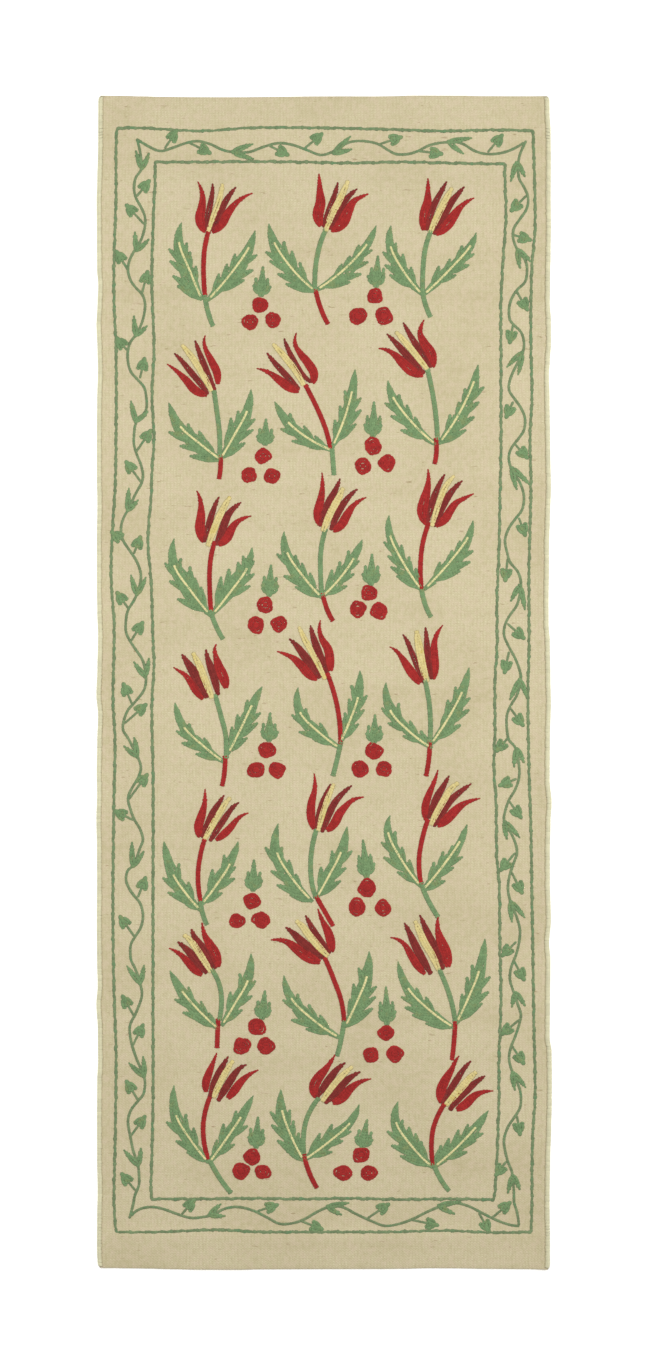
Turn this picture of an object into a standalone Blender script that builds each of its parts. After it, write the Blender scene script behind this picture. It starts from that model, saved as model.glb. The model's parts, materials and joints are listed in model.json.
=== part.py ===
"""Suzani kilim rug, laid flat, with its long side along Y and its face up.

The rug is a narrow flat-woven runner. Its cloth is one sheet, turned under once
at each end as a plain hem, so the ends are two layers thick. Each long side is
whipped with a thicker yarn, which wraps around the edge of the cloth from one
face to the other. The embroidery has no solid of its own here.

The outline is as uneven as the real rug: the stations below were read by eye in
chart units, x to the right and y down, and UNIT turns them into metres.

Run it from Blender's text editor, or with: blender --background --python part.py
"""

import math

import bmesh
import bpy

# Chart: one unit in metres, and the point of the chart under the rug's centre.
UNIT = 0.00155
CHART_CENTRE = (324.15, 682.70)

# Cloth, in metres.
CLOTH_THICKNESS = 0.0022
HEM_DEPTH = 0.045          # how far each end is turned under
HEM_GAP = 0.0004           # between the two layers of a hem
HEM_RUNOUT = 0.025         # length over which the face comes down off the hem
FOLD_STEPS = 6             # segments around the fold of a hem
ROW_STEP = 0.020           # length of one row of faces in the field
CORNER_INSET = 0.0045      # rounding of the four corners, across and along
CORNER_LENGTH = 0.0090

# Whipped sides, in metres.
OVERCAST_WIDTH = 0.0078    # from the outline in over the cloth
OVERCAST_THICKNESS = 0.0009
OVERCAST_CLEARANCE = 0.0004
OVERCAST_END = 0.0032      # distance from the ends of the rug
LIFT_START = 0.022         # the cloth rises onto the whipping between these two
LIFT_END = 0.0095          # distances from the outline

# Left side of the rug.
#   y,    x
LEFT_SIDE = (
    (96, 98.3), (125, 98.2), (150, 98.0), (180, 97.2), (200, 96.6), (230, 96.8),
    (268, 97.0), (286, 98.2), (302, 97.5), (325, 96.4), (350, 97.4), (370, 97.9),
    (400, 97.1), (430, 96.8), (478, 96.8), (502, 97.3), (540, 96.8), (585, 96.8),
    (612, 97.2), (636, 98.0), (668, 97.3), (694, 96.3), (716, 98.0), (742, 97.1),
    (772, 96.6), (792, 97.0), (820, 96.3), (850, 96.9), (885, 97.0), (922, 96.7),
    (960, 97.0), (986, 97.6), (1004, 96.3), (1030, 97.8), (1060, 98.0), (1082, 97.1),
    (1120, 96.9), (1160, 97.0), (1192, 97.6), (1222, 97.0), (1252, 97.0), (1270, 97.8),
)

# Right side of the rug.
#   y,    x
RIGHT_SIDE = (
    (96, 549.5), (112, 549.6), (132, 550.7), (160, 551.0), (198, 550.8), (225, 551.1),
    (252, 550.7), (280, 550.2), (302, 550.0), (322, 551.0), (344, 551.1), (360, 550.0),
    (375, 549.0), (400, 549.7), (450, 550.3), (488, 551.0), (520, 550.0), (545, 549.1),
    (572, 549.0), (600, 548.6), (624, 548.7), (641, 549.9), (680, 550.5), (702, 551.0),
    (740, 550.0), (780, 549.8), (803, 551.7), (822, 550.6), (850, 550.0), (882, 550.0),
    (920, 551.0), (944, 549.2), (960, 550.5), (1000, 550.1), (1038, 549.8), (1052, 551.7),
    (1074, 552.0), (1102, 551.9), (1130, 551.2), (1160, 550.2), (1200, 549.7), (1240, 550.0),
    (1270, 550.0),
)

# Top end, along the fold.
#   x,    y
TOP_END = (
    (98, 95.8), (122, 95.8), (140, 96.3), (162, 96.8), (200, 97.2), (240, 97.2),
    (280, 96.8), (312, 96.4), (345, 96.3), (372, 96.4), (395, 96.1), (412, 95.5),
    (464, 95.6), (482, 96.1), (520, 96.2), (552, 96.2),
)

# Bottom end, along the fold.
#   x,    y
BOTTOM_END = (
    (98, 1267.8), (130, 1268.3), (150, 1268.6), (172, 1269.2), (200, 1269.8),
    (238, 1269.9), (260, 1269.4), (300, 1269.2), (335, 1269.1), (380, 1269.0),
    (402, 1268.8), (430, 1268.2), (452, 1268.3), (490, 1268.9), (522, 1269.1),
    (552, 1269.8),
)

CLOTH_COLOUR = (0.638, 0.560, 0.357)
OVERCAST_COLOUR = (0.716, 0.680, 0.434)


def through(stations, at):
    """Return the value at a place on the smooth line through the stations."""
    if at <= stations[0][0]:
        return stations[0][1]
    if at >= stations[-1][0]:
        return stations[-1][1]
    for (a, low), (b, high) in zip(stations, stations[1:]):
        if at <= b:
            t = (at - a) / (b - a)
            return low + (high - low) * t * t * (3.0 - 2.0 * t)
    return stations[-1][1]


def ease(value, start, end):
    """Rise smoothly from 0 at start to 1 at end."""
    t = min(1.0, max(0.0, (value - start) / (end - start)))
    return t * t * (3.0 - 2.0 * t)


def end_y(table, x):
    """Return the y of an end of the rug, in metres, above the place x."""
    return (CHART_CENTRE[1] - through(table, x / UNIT + CHART_CENTRE[0])) * UNIT


TOP_Y = (CHART_CENTRE[1] - min(y for _, y in TOP_END)) * UNIT
BOTTOM_Y = (CHART_CENTRE[1] - max(y for _, y in BOTTOM_END)) * UNIT


def follow_ends(x, y):
    """Shift a place along the rug so that its ends follow their uneven folds."""
    top = (end_y(TOP_END, x) - TOP_Y) * ease(y, TOP_Y - 0.25, TOP_Y - 0.06)
    bottom = (end_y(BOTTOM_END, x) - BOTTOM_Y) * ease(-y, -BOTTOM_Y - 0.25, -BOTTOM_Y - 0.06)
    return y + top + bottom


def corner_inset(y):
    """Return how far the rounded corner draws the side in at a place along the rug."""
    near = min(TOP_Y - y, y - BOTTOM_Y)
    if near >= CORNER_LENGTH:
        return 0.0
    part = min(1.0, (CORNER_LENGTH - near) / CORNER_LENGTH)
    return CORNER_INSET * (1.0 - math.sqrt(1.0 - part * part))


def side_x(table, y):
    """Return the x of a side of the rug, in metres, beside the place y."""
    x = (through(table, CHART_CENTRE[1] - y / UNIT) - CHART_CENTRE[0]) * UNIT
    return x - math.copysign(corner_inset(y), x)


def face_rows():
    """List (y, height) along the cloth's upper run, from the bottom fold to the top one.

    Height is that of the middle of the cloth above the middle of a single layer.
    """
    layer = CLOTH_THICKNESS + HEM_GAP
    fold_end = (CLOTH_THICKNESS + layer) / 2.0
    ramp = HEM_DEPTH + 0.002
    hem = [(fold_end, layer), (0.009, layer), (0.022, layer), (ramp, layer)]
    for step in range(1, 6):
        t = step / 5.0
        hem.append((ramp + HEM_RUNOUT * t, layer * (1.0 - ease(t, 0.0, 1.0))))
    inner = hem[-1][0]
    length = TOP_Y - BOTTOM_Y
    count = round((length - 2.0 * inner) / ROW_STEP)
    field = [(inner + (length - 2.0 * inner) * k / count, 0.0) for k in range(1, count)]
    rows = hem + field + [(length - d, h) for d, h in reversed(hem)]
    return [(BOTTOM_Y + d, h) for d, h in rows]


def cloth_rows():
    """List (y, height) along the whole cloth, from one raw edge to the other.

    The run starts under the bottom hem, goes around the fold, along the face,
    around the other fold and back under the top hem.
    """
    radius = (CLOTH_THICKNESS + HEM_GAP) / 2.0
    centre = radius + CLOTH_THICKNESS / 2.0
    under = [(HEM_DEPTH, 0.0), (0.030, 0.0), (0.015, 0.0), (centre, 0.0)]
    for step in range(1, FOLD_STEPS):
        turn = math.pi * step / FOLD_STEPS
        under.append((centre - radius * math.sin(turn), radius * (1.0 - math.cos(turn))))
    bottom = [(BOTTOM_Y + d, h) for d, h in under]
    top = [(TOP_Y - d, h) for d, h in reversed(under)]
    return bottom + face_rows() + top


def side_lift(distance):
    """Return how far the cloth is raised, at a distance from the outline, by the whipping."""
    under = OVERCAST_THICKNESS + OVERCAST_CLEARANCE
    return under * (1.0 - ease(distance, LIFT_END, LIFT_START))


def grid(columns, rows):
    """Return a bmesh grid and its vertices by (column, row)."""
    mesh = bmesh.new()
    bmesh.ops.create_grid(mesh, x_segments=columns - 1, y_segments=rows - 1, size=1.0)
    placed = {}
    for vertex in mesh.verts:
        column = round((vertex.co.x + 1.0) / 2.0 * (columns - 1))
        row = round((vertex.co.y + 1.0) / 2.0 * (rows - 1))
        placed[(column, row)] = vertex
    return mesh, placed


def make_object(name, mesh, collection, parent, material, thickness, place=(0.0, 0.0, 0.0)):
    """Turn an open sheet into a named object, thickened evenly to both sides."""
    bmesh.ops.translate(mesh, verts=mesh.verts, vec=[-c for c in place])
    data = bpy.data.meshes.new(name)
    mesh.to_mesh(data)
    mesh.free()
    data.materials.append(material)
    made = bpy.data.objects.new(name, data)
    made.location = place
    made.parent = parent
    collection.objects.link(made)
    solid = made.modifiers.new("thickness", "SOLIDIFY")
    solid.thickness = thickness
    solid.offset = 0.0
    solid.use_even_offset = True
    return made


def make_material(name, colour, roughness):
    """Return a Principled material for yarn of one colour."""
    material = bpy.data.materials.new(name)
    material.use_nodes = True
    shader = material.node_tree.nodes["Principled BSDF"]
    shader.inputs["Base Color"].default_value = (*colour, 1.0)
    shader.inputs["Roughness"].default_value = roughness
    shader.inputs["Metallic"].default_value = 0.0
    return material


def make_cloth(collection, parent):
    """Build the ground cloth with its two turned-under hems."""
    edge = OVERCAST_THICKNESS + OVERCAST_CLEARANCE
    near = (edge, 0.0055, LIFT_END, 0.0135, 0.0175, LIFT_START)
    rows = cloth_rows()
    inner = 3
    columns = 2 * len(near) + inner
    mesh, placed = grid(columns, len(rows))
    for row, (y, height) in enumerate(rows):
        left, right = side_x(LEFT_SIDE, y), side_x(RIGHT_SIDE, y)
        xs = [left + d for d in near]
        start, stop = left + near[-1], right - near[-1]
        xs += [start + (stop - start) * k / (inner + 1) for k in range(1, inner + 1)]
        xs += [right - d for d in reversed(near)]
        for column, x in enumerate(xs):
            lift = side_lift(min(x - left, right - x))
            z = CLOTH_THICKNESS / 2.0 + height + lift
            placed[(column, row)].co = (x, follow_ends(x, y), z)
    material = make_material("kilim_wool_cream", CLOTH_COLOUR, 0.95)
    return make_object("kilim_cloth", mesh, collection, parent, material, CLOTH_THICKNESS)


def overcast_section(top):
    """List (inward, z) across a whipped side, from under the cloth around to its face."""
    half = OVERCAST_THICKNESS / 2.0
    reach = OVERCAST_CLEARANCE + half
    corner = OVERCAST_THICKNESS + OVERCAST_CLEARANCE
    points = [(OVERCAST_WIDTH, half)]
    for step in range(3):
        turn = math.pi / 2.0 * step / 2.0
        points.append((corner - reach * math.sin(turn), corner - reach * math.cos(turn)))
    for step in range(3):
        turn = math.pi / 2.0 * step / 2.0
        points.append((corner - reach * math.cos(turn), top + reach * math.sin(turn)))
    points.append((OVERCAST_WIDTH, top + reach))
    return points


def make_overcast(name, table, sign, collection, parent):
    """Build the whipped yarn along one side: sign is -1 on the left and 1 on the right."""
    rows = [row for row in face_rows()
            if BOTTOM_Y + OVERCAST_END < row[0] < TOP_Y - OVERCAST_END]
    layer = CLOTH_THICKNESS + HEM_GAP
    rows = [(BOTTOM_Y + OVERCAST_END, layer)] + rows + [(TOP_Y - OVERCAST_END, layer)]
    mesh, placed = grid(len(overcast_section(0.0)), len(rows))
    for row, (y, height) in enumerate(rows):
        x = side_x(table, y)
        top = OVERCAST_THICKNESS + OVERCAST_CLEARANCE + height + CLOTH_THICKNESS
        for column, (inward, z) in enumerate(overcast_section(top)):
            at = x - sign * inward
            placed[(column, row)].co = (at, follow_ends(at, y), z)
    if sign > 0:
        bmesh.ops.reverse_faces(mesh, faces=mesh.faces)
    material = make_material(name + "_wool", OVERCAST_COLOUR, 0.9)
    return make_object(name, mesh, collection, parent, material, OVERCAST_THICKNESS,
                       place=(sign * 0.35, 0.0, 0.0))


def main():
    """Clear the scene and build the rug in its own collection."""
    for old in list(bpy.data.objects):
        bpy.data.objects.remove(old, do_unlink=True)
    collection = bpy.data.collections.new("suzani_kilim_rug")
    bpy.context.scene.collection.children.link(collection)
    parent = bpy.data.objects.new("rug", None)
    collection.objects.link(parent)
    make_cloth(collection, parent)
    make_overcast("overcast_left", LEFT_SIDE, -1, collection, parent)
    make_overcast("overcast_right", RIGHT_SIDE, 1, collection, parent)


main()
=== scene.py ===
"""Suzani kilim rug, laid flat: a cream flat-woven wool runner with chain-stitch embroidery.

The script builds the rug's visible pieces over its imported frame, in metres, and the
plain studio around it. It is laid out as an add-on and is run as a script.
"""

import json
import math

import bmesh
import bpy
import numpy as np
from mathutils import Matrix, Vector

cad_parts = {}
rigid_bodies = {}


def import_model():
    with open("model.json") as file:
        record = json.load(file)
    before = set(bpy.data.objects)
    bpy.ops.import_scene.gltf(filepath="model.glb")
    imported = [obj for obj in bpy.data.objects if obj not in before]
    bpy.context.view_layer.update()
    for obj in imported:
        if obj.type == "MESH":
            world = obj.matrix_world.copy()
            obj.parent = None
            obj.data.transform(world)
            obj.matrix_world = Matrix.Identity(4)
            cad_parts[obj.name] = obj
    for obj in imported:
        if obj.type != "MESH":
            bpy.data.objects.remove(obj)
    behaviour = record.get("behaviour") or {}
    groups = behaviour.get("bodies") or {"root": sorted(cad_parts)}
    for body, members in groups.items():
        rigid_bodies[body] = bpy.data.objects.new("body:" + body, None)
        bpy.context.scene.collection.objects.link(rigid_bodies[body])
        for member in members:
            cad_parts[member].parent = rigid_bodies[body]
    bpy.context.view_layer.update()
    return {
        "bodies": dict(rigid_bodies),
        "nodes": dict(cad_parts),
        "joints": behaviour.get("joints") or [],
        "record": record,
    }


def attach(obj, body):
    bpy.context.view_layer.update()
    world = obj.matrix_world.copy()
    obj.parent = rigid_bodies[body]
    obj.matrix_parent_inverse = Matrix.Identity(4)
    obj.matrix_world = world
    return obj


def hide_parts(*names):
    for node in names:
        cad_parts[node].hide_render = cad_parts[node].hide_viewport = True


bl_info = {
    "name": "Suzani kilim rug",
    "version": (1, 0, 0),
    "blender": (4, 5, 0),
    "location": "View3D > Sidebar > Rug",
    "description": "Builds a flat-woven wool runner with tulips and a vine in chain stitch",
    "category": "Object",
}

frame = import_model()


# The pattern chart: x to the right and y down, one unit is UNIT metres.
UNIT = 0.00155
CHART_CENTRE = (324.15, 682.70)

# Widths of the narrow rows of stitches, in the chart's units.
LINE_WIDTH = 2.55
VINE_WIDTH = 2.4
STALK_WIDTH = 2.1
VEIN_WIDTH = 2.1
STEM_HALF_WIDTH = 2.2

ROW = 2.45                 # width of one row of chain stitch, in chart units (3.8 mm)
PITCH = 2.9                # length of one chain stitch along its row, in chart units

# Petals, from the foot of the flower to the tip.
#   yarn, shape, widest, (x, y) ...
PETALS = (
    # first row, leaning right
    ("yellow", "stripe", 5.5, (208, 232), (213, 217), (219, 201), (222.5, 184)),
    ("maroon", "inner", 5.5, (207, 231), (207.5, 219), (210.5, 203), (212.5, 191), (212.5, 183)),
    ("red", "outer", 10, (206, 232), (200, 220), (202, 206), (202.5, 195), (198, 182)),
    ("maroon", "inner", 6.5, (212, 231), (217, 220), (222, 208), (229, 196), (236, 187)),
    ("red", "outer", 9, (212, 232), (221, 225), (228, 213), (236, 203), (244, 197), (253, 193)),
    ("yellow", "stripe", 7, (325.5, 231), (333, 212), (340, 199), (348, 181)),
    ("maroon", "inner", 5.5, (323.5, 227), (327.5, 214), (332, 202), (335.5, 192), (338, 182)),
    ("red", "outer", 11.5, (321, 226), (318, 215), (320.5, 203), (320, 192), (319, 174)),
    ("maroon", "inner", 7, (330, 229), (337, 214), (344, 202), (351, 194), (357, 189)),
    ("red", "outer", 12, (331, 230), (342, 223), (348, 211), (354, 201), (361, 197), (368, 194)),
    ("yellow", "stripe", 7, (430, 233), (438, 215), (446, 199), (452, 188)),
    ("maroon", "inner", 6, (427, 230), (430, 217), (435, 203), (441, 192), (447, 181)),
    ("red", "outer", 11, (424, 230), (424.5, 216), (427.5, 202), (428, 190), (428, 178.5)),
    ("maroon", "inner", 7.5, (434, 234), (443, 217), (450, 204), (458, 194), (464, 187)),
    ("red", "outer", 11, (436, 234), (447, 225), (455, 214), (462, 205.5), (468, 201), (474, 198)),
    # second row, leaning left
    ("yellow", "stripe", 6.5, (212, 392), (203, 375), (194, 360), (182, 345)),
    ("maroon", "inner", 6, (208, 394), (200, 383), (190, 371), (181, 360), (174, 353)),
    ("red", "outer", 9, (207, 395), (195, 390), (186, 380), (176, 370.5), (167, 364)),
    ("maroon", "inner", 6, (215, 390), (209, 377), (203, 362), (198, 349), (195, 340)),
    ("red", "outer", 8.5, (217.5, 384), (217, 373), (211, 360), (206, 350), (204, 342), (205.5, 335)),
    ("yellow", "stripe", 6.5, (304, 386), (295, 370), (284, 356), (273, 344)),
    ("maroon", "inner", 6, (299, 389), (284, 373), (274, 362), (267, 353)),
    ("red", "outer", 9.5, (300, 391), (289, 387), (278, 379), (268, 372), (257, 368.5)),
    ("maroon", "inner", 5.5, (311, 382), (303, 375), (295, 363), (288, 349), (284, 338)),
    ("red", "outer", 9.5, (312, 384), (314, 374), (308, 363), (300, 353), (295, 344), (296.5, 333)),
    ("yellow", "stripe", 6.5, (428, 370), (416, 355), (406, 343), (396, 332)),
    ("maroon", "inner", 7, (424, 373), (414, 363), (404, 352), (396, 343), (387, 334)),
    ("red", "outer", 11, (423, 375), (412, 371), (403, 363), (395, 355), (387, 350), (379, 348.5)),
    ("maroon", "inner", 6, (431, 367), (425, 358), (417, 346), (409, 333), (403, 322)),
    ("red", "outer", 11, (432.5, 367), (431, 354), (424, 343), (420, 333), (421, 327), (424, 320)),
    # third row, leaning right
    ("yellow", "stripe", 7, (208, 546), (214, 529), (222, 511), (230, 497)),
    ("maroon", "inner", 6, (204, 542), (208, 528), (211, 517), (216, 503), (219, 497)),
    ("red", "outer", 10.5, (204, 542), (200, 528), (201, 516), (201, 506), (200, 499), (197, 491)),
    ("maroon", "inner", 7.5, (216, 545), (223, 528), (228, 515), (234, 508), (241, 502.5)),
    ("red", "outer", 9.5, (218, 545), (227, 538), (232, 528), (237, 522), (243, 518.5), (251, 516)),
    ("yellow", "stripe", 7.5, (323, 531), (331, 512), (338, 499), (343, 488)),
    ("maroon", "inner", 7, (320, 526), (325, 511), (330, 500), (336, 489), (340, 479)),
    ("red", "outer", 9, (319.5, 525), (317.5, 514), (320, 503), (322, 492), (322.5, 483), (322, 472.5)),
    ("maroon", "inner", 6.5, (331, 530), (337, 515), (344, 503), (351, 494.5), (357.5, 489)),
    ("red", "outer", 9.5, (332, 531), (341, 525), (347, 515), (353, 506), (359, 501), (366, 497.5)),
    ("yellow", "stripe", 6, (432, 526), (436, 512), (441, 497), (446, 486), (454, 476)),
    ("maroon", "inner", 6, (427, 524), (431, 508), (434, 497), (439, 485), (445, 474)),
    ("red", "outer", 11.5, (427, 524), (422.5, 512), (424.5, 500), (427.5, 488), (428.5, 479),
     (428, 469.5)),
    ("maroon", "inner", 7, (434.5, 526), (440, 512), (446, 500), (453, 490), (462, 481)),
    ("red", "outer", 9, (436, 526), (445, 519), (450, 511), (456, 503), (463, 499), (474, 493.5)),
    # fourth row, leaning left
    ("yellow", "stripe", 7, (212, 698), (205, 680), (199, 665), (193, 653)),
    ("maroon", "inner", 9.5, (207, 698), (200, 684), (193, 671), (187, 662), (182, 654.5)),
    ("red", "outer", 8, (203, 699), (197, 692), (190, 681), (184, 674), (179, 671), (173, 667)),
    ("maroon", "inner", 7.5, (218, 695), (215, 681), (211, 668), (207.5, 658), (206, 650)),
    ("red", "outer", 11, (226, 688), (224, 679), (219, 667), (216, 657), (214.5, 650), (216, 644.5)),
    ("yellow", "stripe", 6, (325, 679), (318, 664), (310, 649), (304, 638), (299, 627)),
    ("maroon", "inner", 8, (320, 678), (312, 666), (303, 654), (296, 645), (289.5, 639)),
    ("red", "outer", 10, (318, 679), (309, 674), (301, 665), (293, 658), (286, 654.5), (277.5, 651.5)),
    ("maroon", "inner", 7.5, (327, 673), (322, 661), (317, 648), (313, 636), (310.5, 625.5)),
    ("red", "outer", 9.5, (330.5, 672), (330, 661), (328, 649), (322.5, 640), (319.5, 631), (320.5, 620)),
    ("yellow", "stripe", 8, (427, 682), (423, 667), (420, 652), (416.5, 631)),
    ("maroon", "inner", 5.5, (424, 683), (418, 668), (412, 653), (407, 641), (402.5, 634)),
    ("red", "outer", 9.5, (421, 684), (415, 677), (408.5, 668), (402, 658), (396.5, 651), (390, 647)),
    ("maroon", "inner", 6.5, (432, 679), (429, 665), (427.5, 651), (426.5, 638), (425.5, 627.5)),
    ("red", "outer", 9.5, (432.5, 680), (434.5, 668), (434, 654), (434.5, 642), (437, 634), (443, 625)),
    # fifth row, leaning right
    ("yellow", "stripe", 6.5, (204, 840), (212, 826), (219, 814), (225, 804), (230, 798)),
    ("maroon", "inner", 7, (202, 837), (208, 824), (213, 813), (219, 803), (224, 795.5)),
    ("red", "outer", 9.5, (200.5, 838), (198.5, 827), (202, 814), (204.5, 804), (205, 797), (205, 789.5)),
    ("maroon", "inner", 6, (210, 841), (219, 827), (227, 815), (233, 807), (239, 802.5)),
    ("red", "outer", 8, (216, 840), (224, 834), (231, 827), (237, 819.5), (242, 815.5), (249, 813)),
    ("yellow", "stripe", 6, (318, 831), (322, 816), (327, 801), (331, 790), (334, 784)),
    ("maroon", "inner", 5, (315.5, 829), (318.5, 815), (322, 803), (326.5, 793), (331, 783)),
    ("red", "outer", 9, (314, 829), (311, 817), (311.5, 803), (314.5, 791), (315, 782), (314, 773)),
    ("maroon", "inner", 6.5, (322, 832), (328, 817), (334, 804), (341, 795), (352, 785.5)),
    ("red", "outer", 9.5, (326, 831), (334, 824), (340, 813), (346, 806), (352, 800.5), (364, 797)),
    ("yellow", "stripe", 7, (431, 825), (437, 812), (444, 800), (450, 790), (458, 783)),
    ("maroon", "inner", 7, (428, 818), (433, 807), (437, 797), (443, 787), (449, 776)),
    ("red", "outer", 8, (426, 820), (425, 809), (428, 797), (432.5, 786), (436, 777), (438, 769)),
    ("maroon", "inner", 7, (434, 826), (442, 813), (450, 801), (460, 792), (471, 784)),
    ("red", "outer", 10, (437, 826), (446, 820), (455, 811), (462, 805), (469, 801.5), (480, 798.5)),
    # sixth row, leaning left
    ("yellow", "stripe", 7, (211, 972), (203, 959), (196, 948), (190, 940), (184, 935)),
    ("maroon", "inner", 8, (207, 973), (198, 963), (190, 953), (184, 947), (178, 942)),
    ("red", "outer", 8.5, (202, 975), (195, 970), (187, 961), (181, 955), (175, 951), (168.5, 948)),
    ("maroon", "inner", 9, (215.5, 970), (208, 957), (201, 947), (195, 938), (191.5, 929.5)),
    ("red", "outer", 11, (218, 967), (215.5, 955), (210, 945), (205, 936), (203, 929), (202, 923)),
    ("yellow", "stripe", 7.5, (328, 956), (318, 946), (309, 935), (302, 926), (296, 921)),
    ("maroon", "inner", 8.5, (323, 958), (311, 949), (300, 940), (293, 933), (286, 927.5)),
    ("red", "outer", 11.5, (320, 962), (308, 957), (297, 949), (288, 942.5), (280, 940), (271, 940)),
    ("maroon", "inner", 6.5, (330, 953), (322, 943), (315, 933), (309.5, 923), (305.5, 915.5)),
    ("red", "outer", 9.5, (331.5, 953), (331, 943), (328, 932), (323, 922), (320, 915), (318, 909)),
    ("yellow", "stripe", 7.5, (439, 970), (432, 955), (425, 943), (419, 930), (415, 921)),
    ("maroon", "inner", 8, (431, 974), (423, 960), (416, 947), (410, 934), (404.5, 923)),
    ("red", "outer", 8.5, (425, 974), (418, 966), (411, 955), (405, 945), (399, 940), (390, 937.5)),
    ("maroon", "inner", 7.5, (443, 969), (438, 955), (432, 942), (426, 929), (420, 915.5)),
    ("red", "outer", 12, (448, 967), (446, 954), (441, 941), (438, 931), (437.5, 924), (438, 917)),
    # seventh row, leaning right
    ("yellow", "stripe", 6.5, (213, 1098), (220, 1083), (227, 1070), (233, 1061)),
    ("maroon", "inner", 7, (210, 1097), (214, 1084), (220, 1071), (228, 1057)),
    ("red", "outer", 8.5, (206, 1092), (206, 1082), (209, 1073), (213, 1063), (217, 1052.5)),
    ("maroon", "inner", 7.5, (218, 1101), (227, 1086), (234, 1075), (240, 1068), (246, 1065)),
    ("red", "outer", 9, (227, 1099), (234, 1091), (240, 1083), (246, 1077), (252, 1073), (258.5, 1070)),
    ("yellow", "stripe", 6.5, (322, 1102), (329, 1091), (337, 1081), (344, 1074), (352, 1067)),
    ("maroon", "inner", 7.5, (317, 1097), (324, 1087), (331, 1077), (338, 1068.5), (345, 1063)),
    ("red", "outer", 11, (316, 1097), (314, 1087), (319, 1077), (325, 1070), (330, 1063), (335, 1055)),
    ("maroon", "inner", 7.5, (325, 1103), (336, 1093), (344, 1083), (351, 1077), (360, 1072)),
    ("red", "outer", 10, (332, 1103), (342, 1098), (350, 1089), (358, 1083), (364, 1080.5), (371, 1079)),
    ("yellow", "stripe", 7.5, (446, 1105), (455, 1095), (463, 1086), (470, 1078), (476, 1072)),
    ("maroon", "inner", 6.5, (442, 1103), (449, 1092), (456, 1081), (463, 1070), (471, 1061)),
    ("red", "outer", 10.5, (441.5, 1103), (441, 1091), (446, 1079), (452, 1069), (455, 1062),
     (459, 1056)),
    ("maroon", "inner", 7.5, (450, 1110), (458, 1099), (467, 1090), (475, 1083), (485, 1076)),
    ("red", "outer", 9.5, (456, 1110), (466, 1104), (473, 1097), (480, 1093), (486, 1091.5), (493, 1091)),
)

# Width of a petal along its length, as a share of its widest place.
#   share of the length, share of the width
PETAL_SHAPES = {
    "outer": ((0.0, 0.36), (0.10, 0.78), (0.22, 0.93), (0.32, 0.95), (0.42, 0.89), (0.52, 0.79),
              (0.62, 0.64), (0.72, 0.48), (0.82, 0.33), (0.92, 0.20), (1.0, 0.08)),
    "inner": ((0.0, 0.42), (0.22, 0.92), (0.40, 1.0), (0.56, 1.0), (0.74, 0.79), (0.92, 0.40),
              (1.0, 0.10)),
    "stripe": ((0.0, 0.62), (0.25, 0.95), (0.65, 1.0), (0.88, 0.75), (1.0, 0.35)),
    "tooth": ((0.0, 0.55), (0.35, 1.0), (0.70, 0.72), (1.0, 0.18)),
    "slip": ((0.0, 0.50), (0.25, 1.0), (0.55, 0.86), (0.80, 0.50), (1.0, 0.12)),
    "heart": ((0.0, 0.35), (0.28, 1.0), (0.55, 0.85), (0.85, 0.42), (1.0, 0.12)),
    "berry_leaf": ((0.0, 0.35), (0.25, 1.0), (0.50, 0.78), (0.75, 0.42), (1.0, 0.15)),
}

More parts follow.
